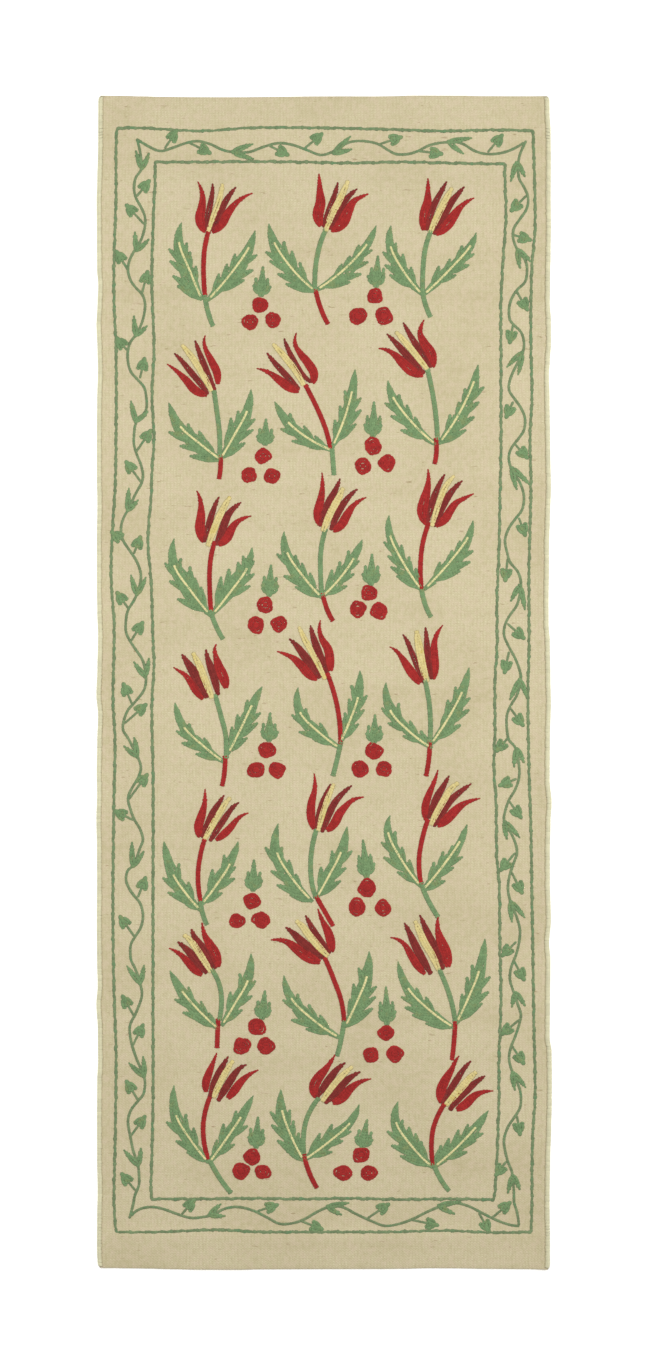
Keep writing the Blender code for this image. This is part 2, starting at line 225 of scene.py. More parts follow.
# Stems of the flowers: upper part from the flower to the fork, then the tail.
#   yarn, points, tail yarn, tail points
STEMS = (
    ("red", ((208, 234), (204.5, 250), (203.5, 270), (205, 295)),
     "green", ((205, 297), (208, 312), (213, 326))),
    ("green", ((325, 232), (319, 248), (315.5, 268), (315, 289)),
     "red", ((316, 291), (321, 309), (328, 324))),
    ("green", ((430, 234), (425, 250), (423, 270), (422.5, 290)),
     "green", ((422.5, 290), (425, 303), (430.5, 317))),
    ("green", ((214.5, 394), (217, 412), (219.5, 433), (219.5, 456)),
     "red", ((220.5, 457), (220.5, 468), (219, 479))),
    ("red", ((307, 388), (317, 408), (325, 427), (330, 447)),
     "green", ((332, 449), (333, 461), (334, 475))),
    ("green", ((428, 372), (432, 390), (435.5, 412), (437.5, 439)),
     "red", ((436, 440), (436.5, 452), (434.5, 464))),
    ("red", ((214, 545), (210.5, 560), (209.5, 580), (211, 610)),
     "green", ((211, 612), (216, 626), (223, 639))),
    ("green", ((325, 532), (321, 550), (320.5, 572), (322, 594)),
     "red", ((323, 595), (327, 609), (333, 621))),
    ("red", ((428, 526), (423, 542), (420.5, 565), (421.5, 588)),
     "green", ((422, 590), (425, 604), (431, 617))),
    ("green", ((216, 698), (221, 716), (225.5, 734), (226, 757)),
     "red", ((225, 758), (224.5, 772), (222, 786))),
    ("red", ((328, 676), (334, 693), (339, 717), (340.5, 743)),
     "green", ((340.5, 744), (337, 760), (333, 776))),
    ("green", ((425.5, 683), (429, 701), (430.5, 722), (430, 741)),
     "red", ((429.5, 742), (429, 758), (426, 776))),
    ("red", ((204, 842), (199.5, 860), (198, 880), (200.5, 900)),
     "green", ((200.5, 901), (202.5, 913), (207, 925))),
    ("green", ((316, 832), (311.5, 852), (311, 876), (315.5, 897)),
     "red", ((317, 898), (325, 912), (333, 926))),
    ("red", ((427, 823), (421.5, 842), (419, 862), (421, 883)),
     "green", ((421.5, 884), (428, 900), (438, 917))),
    ("green", ((213, 972), (219.5, 985), (221.5, 1002), (219.5, 1019)),
     "red", ((218, 1021), (217.5, 1035), (217, 1048))),
    ("red", ((326, 961), (334, 980), (341, 1000), (344, 1020)),
     "green", ((344, 1022), (341, 1040), (337, 1056))),
    ("green", ((440, 971), (447, 988), (452, 1004), (455, 1021)),
     "red", ((455, 1023), (454, 1042), (452, 1060))),
    ("red", ((209.5, 1099), (204, 1118), (203.5, 1138), (208, 1158)),
     "green", ((209, 1159), (219, 1177), (231, 1193))),
    ("green", ((317, 1101), (307, 1118), (303.5, 1136), (304, 1155)),
     "red", ((304.5, 1156), (309, 1172), (317, 1188))),
    ("red", ((443, 1107), (434, 1126), (431.5, 1145), (433, 1164)),
     "green", ((434, 1165), (440, 1178), (449, 1191))),
)

# Leaves of the flowers. The vein runs from the fork to its top, and bow is how
# far it bends outwards at its middle. The tips of the teeth run from the fork
# to the tip of the leaf, those of the outer edge and then those of the inner.
#   fork, vein top, tip, bow, outer teeth, inner teeth
LEAVES = (
    ((200, 297), (179, 242), (181.5, 223), 0.5,
     ((178, 286), (173, 276), (170, 261), (169, 249)), ((196, 266), (190, 252), (187, 243))),
    ((210, 298), (249, 247), (255, 231), 2.0,
     ((244, 280), (253, 270), (257, 255)), ((219, 274), (227, 264), (235, 254))),
    ((313, 289), (274, 242), (269, 224), 3.5,
     ((286, 284), (278, 274), (270, 261), (266, 252)), ((300, 263), (292, 251), (284, 242))),
    ((319, 288), (367, 244), (376, 226), 3.5,
     ((350, 282), (361, 274), (368, 262), (372, 250)), ((342, 264), (350, 256), (359, 245))),
    ((420, 292), (390.5, 246), (391, 226), 3.0,
     ((390, 275), (385, 265), (383, 252)), ((411, 267), (403, 254), (396, 243))),
    ((426, 293), (471, 245), (476, 233), 1.5,
     ((456, 275), (469, 265), (474, 254)), ((439, 266), (450, 259), (462, 246))),
    ((218, 458), (180, 426), (169, 403), 1.0,
     ((190, 456), (180, 446), (169, 432)), ((206, 440), (199, 431), (188, 424))),
    ((223, 456), (247, 411), (251, 390), 0.5,
     ((245, 443), (253, 430), (255, 419)), ((228, 430), (231, 418), (238, 411))),
    ((330, 449), (288, 422), (275, 402), 3.0,
     ((307, 446), (292, 441), (281, 429)), ((315, 436), (304, 426), (290, 414))),
    ((334, 444), (352, 391), (355, 370), 2.0,
     ((356, 424), (361, 410), (361, 398)), ((335, 420), (340, 406), (345, 391))),
    ((434, 443), (393, 397), (388, 381), 3.0,
     ((401, 430), (391, 416), (385, 403)), ((415, 417), (407, 405), (399, 395))),
    ((441, 441), (474, 381), (478, 365), 3.0,
     ((466, 430), (474, 417), (479, 402), (484, 387)), ((450, 415), (459, 402), (465, 389))),
    ((208, 613), (174, 565), (174, 539), 1.5,
     ((177.5, 599), (169.5, 581), (165, 563)), ((201, 587), (195, 578), (190, 567), (181, 559))),
    ((215, 612), (247, 568), (252, 548), 1.0,
     ((250, 586), (254, 574), (254, 561)), ((221, 577), (229, 569), (238, 562), (243, 556))),
    ((319, 595), (287, 552), (284, 532), 2.0,
     ((295.5, 587), (284, 576), (277, 554)), ((310, 573), (302, 563), (295.5, 555.5))),
    ((325, 594), (354, 558), (362, 540), 2.0,
     ((347, 586), (354, 574), (359, 561)), ((332, 570), (340, 562), (348.5, 551))),
    ((420, 588), (390, 535), (389, 516), 2.5,
     ((397, 576), (391, 567), (388, 556), (384, 542)), ((416, 569), (409, 557), (401.5, 545))),
    ((427, 587), (468, 537), (473, 521), 2.0,
     ((460, 571), (470, 562), (473, 551)), ((440, 562), (452, 551), (460, 541))),
    ((221, 760), (184, 727), (175, 703), 1.5,
     ((196, 754), (182, 743), (176.5, 731)), ((204, 738), (189, 724))),
    ((230, 751), (252, 705), (262, 687), 0.5,
     ((247, 738), (257.5, 723), (260.5, 713)), ((232, 727), (237.5, 714.5), (247.5, 700))),
    ((337, 746), (300, 712), (298, 688), 2.5,
     ((313, 739), (299, 732), (292, 715)), ((320, 723), (306, 709))),
    ((342, 740), (358, 697), (360, 671), 1.0,
     ((358.5, 724), (364, 710), (367, 695.5)), ((345, 713), (349, 699), (351.5, 686))),
    ((429, 746), (390, 710), (386, 683), 3.0,
     ((403, 736), (388, 723), (382, 708)), ((421, 731), (410, 721), (399, 703.5))),
    ((433, 742), (462, 692), (469, 668), 1.5,
     ((460.5, 725), (469, 710), (470, 698)), ((444.5, 714), (448, 700), (455.5, 687))),
    ((198, 908), (173, 874), (164, 842), 1.5,
     ((182, 901), (168, 892.5), (163, 878)), ((188.5, 882), (179, 864))),
    ((204, 902), (230, 864), (238, 842), 1.0,
     ((222, 893), (234.5, 878.5), (235.5, 867)), ((212.5, 869.5), (224, 855))),
    ((310, 899), (277, 852), (278, 824), 3.0,
     ((290, 895), (277, 885), (271, 871), (265.5, 847.5)),
     ((296, 874), (289, 860), (282, 847.5))),
    ((319, 895), (341, 852), (347, 827), 0.5,
     ((340.5, 881), (346, 868), (352, 851)), ((321, 867), (332, 851))),
    ((419, 884), (388, 832), (390, 816), 3.0,
     ((397.5, 872), (384, 857.5), (381.5, 842.5)), ((409.5, 860), (402, 847), (395.5, 832))),
    ((425, 888), (460, 841), (467, 825), 1.5,
     ((445, 881), (453.5, 867.5), (462.5, 857)), ((434, 862.5), (443, 852), (452.5, 846))),
    ((216, 1027), (182, 991), (170, 971), 1.5,
     ((196, 1020), (183, 1012.5), (175, 999.5)), ((209, 1013), (201, 1001.5), (188.5, 987))),
    ((224, 1023), (248, 980), (251, 954), 0.5,
     ((242, 1010), (252, 996), (255.5, 981)), ((230.5, 992), (239.5, 974))),
    ((337, 1036), (291, 998), (284, 976), 3.0,
     ((306, 1029), (291.5, 1020), (283, 1000)), ((320, 1015), (309, 1005), (297.5, 994.5))),
    ((347, 1024), (367, 976), (369, 952), 1.0,
     ((372.5, 1008.5), (375.5, 997), (376.5, 986.5)), ((350, 999), (353.5, 984), (358.5, 968))),
    ((452, 1026), (408, 988), (398, 962), 3.0,
     ((426, 1023.5), (412.5, 1015), (405, 1007.5), (401.5, 997)), ((426, 997), (416.5, 988))),
    ((458, 1021), (479, 971), (485, 939), 1.0,
     ((482, 1003.5), (488.5, 992), (490, 977)), ((462, 994), (467, 977.5), (472, 965.5))),
    ((206, 1160), (176, 1115), (174, 1086), 2.0,
     ((187, 1152), (176, 1141), (166.5, 1122)), ((193.5, 1128), (186, 1114.5))),
    ((211, 1161), (241, 1117), (253, 1096), 0.5,
     ((234.5, 1144.5), (247.5, 1126)), ((217, 1140), (223.5, 1124), (236, 1111))),
    ((302, 1158), (282, 1110), (281, 1090), 2.0,
     ((287, 1151), (277.5, 1140.5), (271.5, 1125), (270.5, 1112)),
     ((298.5, 1133.5), (293.5, 1121), (290, 1110))),
    ((307, 1158), (350, 1123), (359, 1105), 1.5,
     ((332, 1152), (343, 1141), (351, 1131.5)), ((320, 1133.5), (332, 1124.5))),
    ((430, 1165), (396, 1122), (398, 1102), 3.0,
     ((400.5, 1156), (391.5, 1145.5), (387.5, 1131.5)),
     ((421, 1142), (415.5, 1133.5), (409, 1127), (402.5, 1120.5))),
    ((437, 1165), (476, 1127), (488, 1111), 1.5,
     ((467, 1152), (476, 1140.5), (483, 1133.5)),
     ((441, 1146), (449, 1138.5), (458.5, 1130), (468, 1124.5))),
)

# Berry clusters.
#   leaf tip, leaf foot, three berries
BERRIES = (
    ((263, 267), (261, 297), (260, 305), (250, 322), (273, 320)),
    ((378, 256), (376, 288), (375, 296), (358, 316), (384, 316)),
    ((266, 419), (265, 446), (263, 456), (249, 475), (272, 476)),
    ((374, 402), (373, 438), (373, 446), (363, 466), (387, 463)),
    ((271, 565), (269, 597), (265, 605), (256, 625), (279, 624)),
    ((372, 554), (371, 586), (369, 593), (358, 609), (379, 611)),
    ((270, 713), (269, 742), (267, 750), (256, 770), (277, 770)),
    ((375, 715), (374, 744), (374, 751), (360, 769), (384, 769)),
    ((254, 860), (253, 892), (252, 901), (237, 921), (261, 920)),
    ((363, 840), (367, 879), (367, 888), (357, 907), (383, 908)),
    ((265, 991), (262, 1020), (257, 1027), (242, 1046), (266, 1046)),
    ((386, 987), (387, 1026), (386, 1033), (371, 1055), (395, 1054)),
    ((258, 1117), (256, 1149), (252, 1157), (241, 1171), (263, 1172)),
    ((367, 1120), (362, 1149), (361, 1155), (343, 1173), (369, 1173)),
)

# The two frames of the border, corner to corner, clockwise from the top left.
OUTER_FRAME = (
    ((117, 128.5), (138, 128), (202, 131), (250, 128), (320, 128), (390, 129.5), (440, 131),
     (500, 130), (533, 131)),
    ((533, 131), (534, 160), (535, 200), (535, 230), (532, 265), (531, 300), (531, 350), (532, 395),
     (530, 440), (531, 480), (530, 530), (529, 570), (529, 650), (528, 690), (529, 770), (531, 830),
     (532, 900), (533, 960), (534, 1030), (535, 1070), (535, 1100), (533, 1130), (532, 1170),
     (532, 1200), (531, 1232)),
    ((531, 1232), (490, 1232.5), (446, 1230.7), (390, 1232), (320, 1232), (260, 1232), (216, 1230),
     (160, 1232), (116, 1232)),
    ((116, 1232), (114, 1200), (115, 1150), (116, 1080), (116, 1050), (114, 990), (113, 930),
     (113, 880), (114, 800), (115, 740), (113, 700), (114, 650), (114, 620), (112, 595), (111, 570),
     (113, 520), (115, 490), (116, 440), (116, 350), (114, 300), (114, 260), (115, 230), (116, 200),
     (116, 150), (117, 128.5)),
)
INNER_FRAME = (
    ((155, 162), (200, 162), (250, 161.5), (300, 162), (350, 163), (400, 162), (450, 163),
     (505, 164)),
    ((505, 164), (505, 180), (506, 215), (503, 262), (501, 300), (501, 350), (501, 390), (501, 450),
     (500, 500), (499, 550), (497, 600), (497, 650), (495, 680), (495, 730), (494, 770), (496, 800),
     (497, 860), (499, 880), (500, 950), (501, 1000), (499, 1060), (499, 1100), (498, 1130),
     (497, 1160), (495, 1190), (494, 1200)),
    ((494, 1200), (450, 1199), (400, 1199.5), (350, 1198.5), (300, 1199), (250, 1198.5), (200, 1199),
     (151.5, 1199)),
    ((151.5, 1199), (151, 1190), (152, 1150), (153, 1100), (153, 1000), (153, 900), (153, 770),
     (152, 730), (152, 700), (154, 665), (153, 640), (151, 580), (148, 545), (149, 520), (151, 500),
     (152, 470), (154, 440), (152, 395), (154, 350), (152, 290), (152, 260), (153, 230), (154, 200),
     (155, 185), (155, 162)),
)

# The vine between the frames.
VINE = {
    "left": (
        (137, 139), (141, 158), (141, 170), (136, 177), (134, 188), (136, 198), (141, 207),
        (145, 217), (145, 226), (141, 240), (133, 253), (129, 262), (128, 271), (131, 281),
        (137, 289), (142, 294), (145, 303), (144, 315), (141, 325), (136, 335), (131, 341),
        (128, 350), (128, 362), (131, 372), (138, 380), (144, 387), (146, 395), (146, 410),
        (136, 423), (134, 435), (134, 445), (137, 455), (141, 465), (143, 475), (142, 482),
        (136, 493), (128, 510), (125, 515), (122, 522), (121, 530), (123, 540), (130, 551),
        (136, 560), (140, 570), (141, 578), (137, 594), (133, 602), (128, 610), (126, 620),
        (126, 632), (130, 641), (136, 650), (143, 661), (146, 680), (144, 690), (135, 702),
        (128, 710), (124, 720), (123, 730), (128, 738), (137, 756), (139, 760), (141, 768),
        (138, 778), (132, 788), (128, 798), (130, 808), (134, 819), (140, 829), (143, 840),
        (140, 848), (133, 866), (128, 870), (126, 880), (130, 890), (136, 898), (140, 903),
        (143, 915), (141, 927), (135, 937), (131, 944), (131, 960), (135, 968), (140, 983),
        (142, 995), (138, 1008), (135, 1015), (130, 1025), (130, 1035), (132, 1045), (137, 1060),
        (144, 1076), (145, 1085), (143, 1095), (138, 1101), (131, 1110), (128, 1120), (129, 1130),
        (131, 1140), (133, 1150), (138, 1165), (139, 1175), (139, 1185), (135, 1195), (133, 1205),
        (129.5, 1218),
    ),
    "right": (
        (526, 141), (523, 147), (519, 158), (519, 178), (524, 187), (528, 197), (527, 208),
        (520, 219), (514, 228), (513, 237), (516, 247), (526, 262), (527, 273), (525, 282),
        (517, 290), (511, 300), (509, 310), (510, 320), (514, 325), (521, 332), (524, 342),
        (523, 352), (514, 370), (510, 380), (509, 390), (514, 398), (521, 408), (525, 418),
        (524, 430), (519, 438), (512, 447), (509, 455), (510, 465), (521, 485), (524, 497),
        (522, 510), (516, 518), (509, 528), (505, 540), (507, 552), (510, 562), (518, 572),
        (521, 583), (517, 605), (510, 615), (505, 625), (504, 635), (508, 645), (515, 658),
        (519, 668), (521, 678), (517, 695), (511, 705), (507, 715), (507, 730), (509, 740),
        (515, 747), (519, 765), (519, 778), (515, 790), (509, 800), (505, 812), (504, 820),
        (512, 835), (516, 845), (517, 853), (513, 865), (509, 878), (508, 890), (510, 900),
        (517, 918), (520, 930), (519, 943), (516, 955), (511, 968), (510, 980), (513, 990),
        (518, 1005), (521, 1015), (519, 1025), (515, 1037), (511, 1047), (509, 1058), (511, 1068),
        (520, 1090), (521, 1100), (520, 1108), (516, 1115), (508, 1127), (504, 1140), (505, 1150),
        (508, 1162), (512, 1172), (514, 1195), (514, 1202), (517, 1212), (519, 1225),
    ),
    "top": (
        (137, 139), (148, 146), (160, 151), (172, 148), (186, 143), (198, 141), (210, 144),
        (223, 150), (233, 152), (249, 152), (263, 147), (279, 143), (293, 145), (307, 150),
        (321, 155), (332, 152), (340, 147), (350, 142), (364, 141), (378, 144), (388, 150),
        (396, 154), (408, 154), (418, 151), (430, 145), (449, 142), (461, 143), (475, 151),
        (487, 154), (501, 153), (513, 149), (526, 141),
    ),
    "bottom": (
        (129.5, 1218), (138, 1210), (151, 1207), (163, 1209), (177, 1214), (191, 1218), (203, 1217),
        (213, 1215), (224, 1209), (238, 1207), (254, 1211), (268, 1218), (280, 1224), (294, 1223),
        (305, 1219), (317, 1212), (329, 1207), (342, 1207), (356, 1214), (369, 1220), (385, 1226),
        (399, 1224), (413, 1219), (427, 1212), (439, 1207), (454, 1203), (468, 1206), (482, 1213),
        (496, 1220), (510, 1225), (519, 1226),
    ),
}

# Paired slips on the vine: the foot and the two tips.
SLIPS = (
    ((142, 168), (136, 151), (149, 153)), ((137, 250), (135, 232), (149, 239)),
    ((136, 335), (134, 316), (147, 326)), ((136, 421), (131, 401), (148, 411)),
    ((128, 510), (129, 488), (138, 500)), ((137, 594), (131, 575), (146, 577)),
    ((145, 676), (134, 662), (149, 658)), ((137, 756), (124, 746), (134, 737)),
    ((133, 866), (132, 842), (144, 851)), ((140, 983), (127, 966), (144, 965)),
    ((144, 1076), (129, 1063), (143, 1056)), ((138, 1165), (124, 1150), (141, 1148)),
    ((517, 163), (511, 181), (525, 177)), ((518, 250), (520, 268), (531, 262)),
    ((522, 353), (507, 367), (518, 375)), ((512, 468), (517, 490), (530, 485)),
    ((520, 586), (511, 601), (525, 610)), ((520, 680), (510, 700), (527, 698)),
    ((517, 749), (514, 767), (524, 763)), ((505, 822), (507, 839), (520, 838)),
    ((511, 902), (512, 922), (525, 918)), ((516, 993), (512, 1007), (525, 1006)),
    ((513, 1073), (515, 1090), (526, 1088)), ((513, 1176), (508, 1193), (520, 1190)),
    ((233, 152), (253, 144), (254, 159)), ((334, 153), (351, 136), (352, 149)),
    ((449, 142), (472, 138), (464, 154)), ((210, 1215), (221, 1204), (225, 1216)),
    ((328, 1207), (349, 1203), (342, 1215)), ((439, 1206), (461, 1202), (455, 1214)),
)

# Heart-shaped leaves on the vine: the middle of the leaf and the foot of its stalk.
HEARTS = (
    ((145, 186), (137, 196)), ((131, 210), (144, 224)), ((120, 257), (128, 270)),
    ((146, 278), (142, 293)), ((121, 343), (127, 350)), ((143, 365), (140, 378)),
    ((147, 436), (136, 452)), ((130, 467), (141, 482)), ((117, 536), (124, 541)),
    ((138, 543), (133, 556)), ((121, 598), (128, 608)), ((139, 628), (131, 641)),
    ((126, 690), (132, 704)), ((141, 709), (125, 723)), ((143, 780), (129, 799)),
    ((121, 814), (133, 820)), ((143, 884), (138, 897)), ((124, 922), (134, 936)),
    ((126, 1002), (134, 1016)), ((140, 1031), (133, 1045)), ((130, 1087), (138, 1100)),
    ((141, 1122), (130, 1137)), ((126, 1179), (135, 1190)),
    ((516, 206), (526, 196)), ((524, 238), (514, 235)), ((524, 304), (517, 292)),
    ((511, 336), (513, 325)), ((509, 411), (513, 402)), ((523, 453), (514, 443)),
    ((523, 529), (519, 518)), ((506, 574), (508, 556)), ((519, 634), (508, 624)),
    ((506, 666), (509, 652)), ((519, 720), (511, 709)), ((501, 746), (508, 738)),
    ((506, 783), (516, 779)), ((517, 812), (509, 801)), ((505, 865), (515, 853)),
    ((519, 887), (512, 873)), ((507, 951), (516, 942)), ((521, 974), (514, 961)),
    ((507, 1030), (519, 1020)), ((520, 1058), (512, 1046)), ((519, 1128), (517, 1116)),
    ((500, 1170), (506, 1162)), ((505, 1207), (492, 1218)),
    ((173, 136), (165, 148)), ((204, 150), (190, 143)), ((317, 138), (305, 148)),
    ((282, 152), (270, 146)), ((395, 139), (380, 144)), ((435, 153), (419, 151)),
    ((498, 140), (488, 152)), ((190, 1205), (182, 1214)), ((271, 1207), (258, 1211)),
    ((316, 1227), (301, 1221)), ((383, 1208), (368, 1218)), ((431, 1224), (412, 1220)),
    ((486, 1226), (479, 1213)),
)


def smooth_line(points, step=0.4):
    """Return evenly spaced points on the smooth curve through a few chart points."""
    p = np.asarray(points, float)
    if len(p) == 2:
        p = np.array([p[0], (p[0] + p[1]) / 2.0, p[1]])
    gap = np.sqrt(np.linalg.norm(np.diff(p, axis=0), axis=1))
    at = np.concatenate([[0.0], np.cumsum(gap)])
    slope = np.empty_like(p)
    slope[1:-1] = ((p[1:-1] - p[:-2]) * (gap[1:] / gap[:-1])[:, None]
                   + (p[2:] - p[1:-1]) * (gap[:-1] / gap[1:])[:, None]) / (gap[1:] + gap[:-1])[:, None]
    slope[0] = 2.0 * (p[1] - p[0]) / gap[0] - slope[1]
    slope[-1] = 2.0 * (p[-1] - p[-2]) / gap[-1] - slope[-2]
    fine = []
    for k in range(len(p) - 1):
        t = np.linspace(0.0, 1.0, 24, endpoint=False)[:, None]
        h = gap[k]
        fine.append((2 * t ** 3 - 3 * t ** 2 + 1) * p[k] + (t ** 3 - 2 * t ** 2 + t) * h * slope[k]
                    + (-2 * t ** 3 + 3 * t ** 2) * p[k + 1] + (t ** 3 - t ** 2) * h * slope[k + 1])
    fine = np.concatenate(fine + [p[-1:]])
    run = np.concatenate([[0.0], np.cumsum(np.linalg.norm(np.diff(fine, axis=0), axis=1))])
    even = np.linspace(0.0, run[-1], max(3, int(run[-1] / step) + 1))
    return np.stack([np.interp(even, run, fine[:, i]) for i in (0, 1)], axis=1)


def heading(line):
    """Return the unit direction and the unit left-hand normal along a line."""
    along = np.gradient(line, axis=0)
    along /= np.maximum(np.linalg.norm(along, axis=1), 1e-9)[:, None]
    return along, np.stack([along[:, 1], -along[:, 0]], axis=1)


def stretches(keep):
    """Return the (start, stop) runs in which keep is true."""
    edges = np.flatnonzero(np.diff(np.concatenate([[0], keep.astype(int), [0]])))
    return list(zip(edges[::2], edges[1::2]))


def fill_petal(line, half, yarn, layer=0.0, row=ROW):
    """Fill the shape around a line with rows of chain stitch, from its edges inwards."""
    _, normal = heading(line)
    rows = []
    full = np.floor(half / row + 0.15)
    for ring in range(int(full.max())):
        for side in (-1.0, 1.0):
            path = line + normal * (side * (half - (ring + 0.5) * row))[:, None]
            for start, stop in stretches(full > ring):
                rows.append((path[start:stop], np.full(stop - start, row), yarn, layer))
    rest = 2.0 * (half - full * row)
    for start, stop in stretches(rest > 0.35 * row):
        width = np.clip(rest[start:stop] * 1.08, 1.1, 1.7 * row)
        rows.append((line[start:stop], width, yarn, layer + 0.12))
    return rows


def petal(points, widest, shape, yarn, layer=0.0, row=ROW):
    """Return the rows of one petal, leaf slip or tooth."""
    line = smooth_line(points)
    share = np.linspace(0.0, 1.0, len(line))
    table = np.array(PETAL_SHAPES[shape])
    half = widest / 2.0 * np.interp(share, table[:, 0], table[:, 1])
    kernel = np.ones(7) / 7.0
    half = np.convolve(np.pad(half, 3, mode="edge"), kernel, mode="valid")
    return fill_petal(line, half, yarn, layer, row)


def flower_rows():
    """Return the rows of all petals, with the yellow stripes on top."""
    rows = []
    level = {"red": 0.0, "maroon": 0.25, "yellow": 0.5}
    for yarn, shape, widest, *points in PETALS:
        rows += petal(points, widest, shape, yarn, level[yarn])
    return rows


def stem_rows():
    """Return the two rows of each stem and of its tail."""
    rows = []
    for yarn, points, tail_yarn, tail in STEMS:
        for colour, way, ends in ((yarn, points, (3.6, 1.2)), (tail_yarn, tail, (2.2, 0.0))):
            way = np.array(way, float)
            for end, near, reach in ((0, 1, ends[0]), (-1, -2, ends[1])):
                out = way[end] - way[near]
                way[end] += out / np.linalg.norm(out) * reach
            line = smooth_line(way)
            half = np.full(len(line), STEM_HALF_WIDTH)
            half *= np.interp(np.linspace(0, 1, len(line)), (0, 0.08, 0.92, 1), (0.85, 1, 1, 0.8))
            rows += fill_petal(line, half, colour, 0.3)
    return rows


def leaf_rows(rng):
    """Return the rows of all flower leaves, and those of their pale veins."""
    rows, veins = [], []
    for index, (fork, top, tip, bow, outer, inner) in enumerate(LEAVES):
        fork, top, tip = (np.array(p, float) for p in (fork, top, tip))
        side = -1.0 if index % 2 == 0 else 1.0
        chord = top - fork
        fork = fork - chord / np.linalg.norm(chord) * 3.0 + np.array([-0.8 * side, 0.0])
        chord = top - fork
        away = np.array([-chord[1], chord[0]]) / np.linalg.norm(chord)
        if away[0] * side < 0.0:
            away = -away
        spine = smooth_line((fork, fork + chord * 0.5 + away * bow, top, tip))
        count = len(spine) - 1
        share = np.linspace(0.0, 1.0, count + 1)
        _, normal = heading(spine)
        if normal[count // 2] @ away < 0.0:
            normal = -normal
        bodies = []
        for sign, teeth in ((1.0, outer), (-1.0, inner)):
            body = [(0.0, 1.6)]
            for point in teeth:
                point = np.array(point, float)
                gaps = np.linalg.norm(spine - point, axis=1)
                near = int(gaps.argmin())
                reach = gaps[near]
                back = max(int(0.03 * count), near - int((reach * 1.15 + 7.0) / 0.4))
                middle = (near + back) // 2
                path = (spine[back] + normal[back] * sign * 0.8,
                        spine[middle] + normal[middle] * sign * reach * 0.50, point)
                wide = min(8.5, 4.2 + 0.28 * reach) * rng.uniform(0.95, 1.05)
                rows += petal(path, wide, "tooth", "green", 0.0)
                body.append((max(0.05, min(0.84, near / count - 0.03)), reach * 0.60))
            body += [(0.90, 2.7), (1.0, 0.4)]
            body = np.array(sorted(body))
            half = np.interp(share, body[:, 0], body[:, 1]) / 2.0
            bodies += fill_petal(spine + normal * (sign * half)[:, None], half, "green", -0.15)
        rows += bodies
        stop = int(np.argmin(np.linalg.norm(spine - top, axis=1)))
        line = spine[int(count * 0.05):stop]
        veins.append((line, np.full(len(line), VEIN_WIDTH), "vein", 0.9))
        line = spine[stop:]
        rows.append((line, np.interp(np.linspace(0, 1, len(line)), (0, 1), (2.4, 1.2)), "green", 0.1))
    return rows, veins


def berry_rows(rng):
    """Return the rows of the berries, in rings, and those of their small leaves."""
    rows, leaves = [], []
    for tip, foot, *berries in BERRIES:
        for x, y in berries:
            radius = rng.uniform(8.0, 9.2)
            turn = np.linspace(0.0, 2.0 * math.pi, 90, endpoint=False) + rng.uniform(0.0, 6.28)
            bumps = sum(rng.uniform(0.02, 0.085) * np.sin(k * turn + rng.uniform(0.0, 6.28))
                        for k in (2, 3, 4, 7))
            squash = rng.uniform(0.88, 1.04)
            for shift in (-1.1, 1.1):
                dot = smooth_line(((x - 2.0, y + shift), (x + 2.0, y + shift)))
                rows.append((dot, np.full(len(dot), ROW), "red", 0.2))
            ring = 0
            while radius - (ring + 0.5) * ROW > 2.2:
                r = (radius - (ring + 0.5) * ROW) * (1.0 + bumps * (1.0 if ring == 0 else 0.5))
                path = np.stack([x + r * np.cos(turn), y + r * np.sin(turn) * squash], axis=1)
                rows.append((path, np.full(len(path), ROW), "red", 0.08 * ring))
                ring += 1
        tip, foot = np.array(tip, float), np.array(foot, float)
        axis = foot - tip
        length = np.linalg.norm(axis)
        axis /= length
        across = np.array([axis[1], -axis[0]])
        leaves += petal((foot, foot - axis * length * 0.5, tip), 10.0, "berry_leaf", "green", 0.0)
        for sign in (-1.0, 1.0):
            for place, reach in ((0.62, 8.0), (0.38, 6.0)):
                point = tip + axis * length * place + across * sign * reach * rng.uniform(0.9, 1.1)
                root = foot - axis * length * (0.98 - place) * 0.35 + across * sign * 1.5
                bend = (root + point) / 2.0 + across * sign * 1.4
                leaves += petal((root, bend, point), 6.0, "tooth", "green", -0.1)
    return rows, leaves


def frame_rows(rng):
    """Return the rows of the two green frames, which waver as sewn lines do."""
    rows = []
    for frame in (OUTER_FRAME, INNER_FRAME):
        for edge in frame:
            line = smooth_line(edge)
            run = np.arange(len(line)) * 0.4
            _, normal = heading(line)
            sway = sum(rng.uniform(0.12, 0.30) * np.sin(run * 6.28 / length + rng.uniform(0.0, 6.28))
                       for length in (6.5, 11.0, 19.0))
            width = LINE_WIDTH + 0.40 * np.sin(run * 6.28 / 8.3) + 0.30 * np.sin(run * 6.28 / 3.7 + 1.0)
            rows.append((line + normal * sway[:, None], width, "line", 0.1))
    return rows


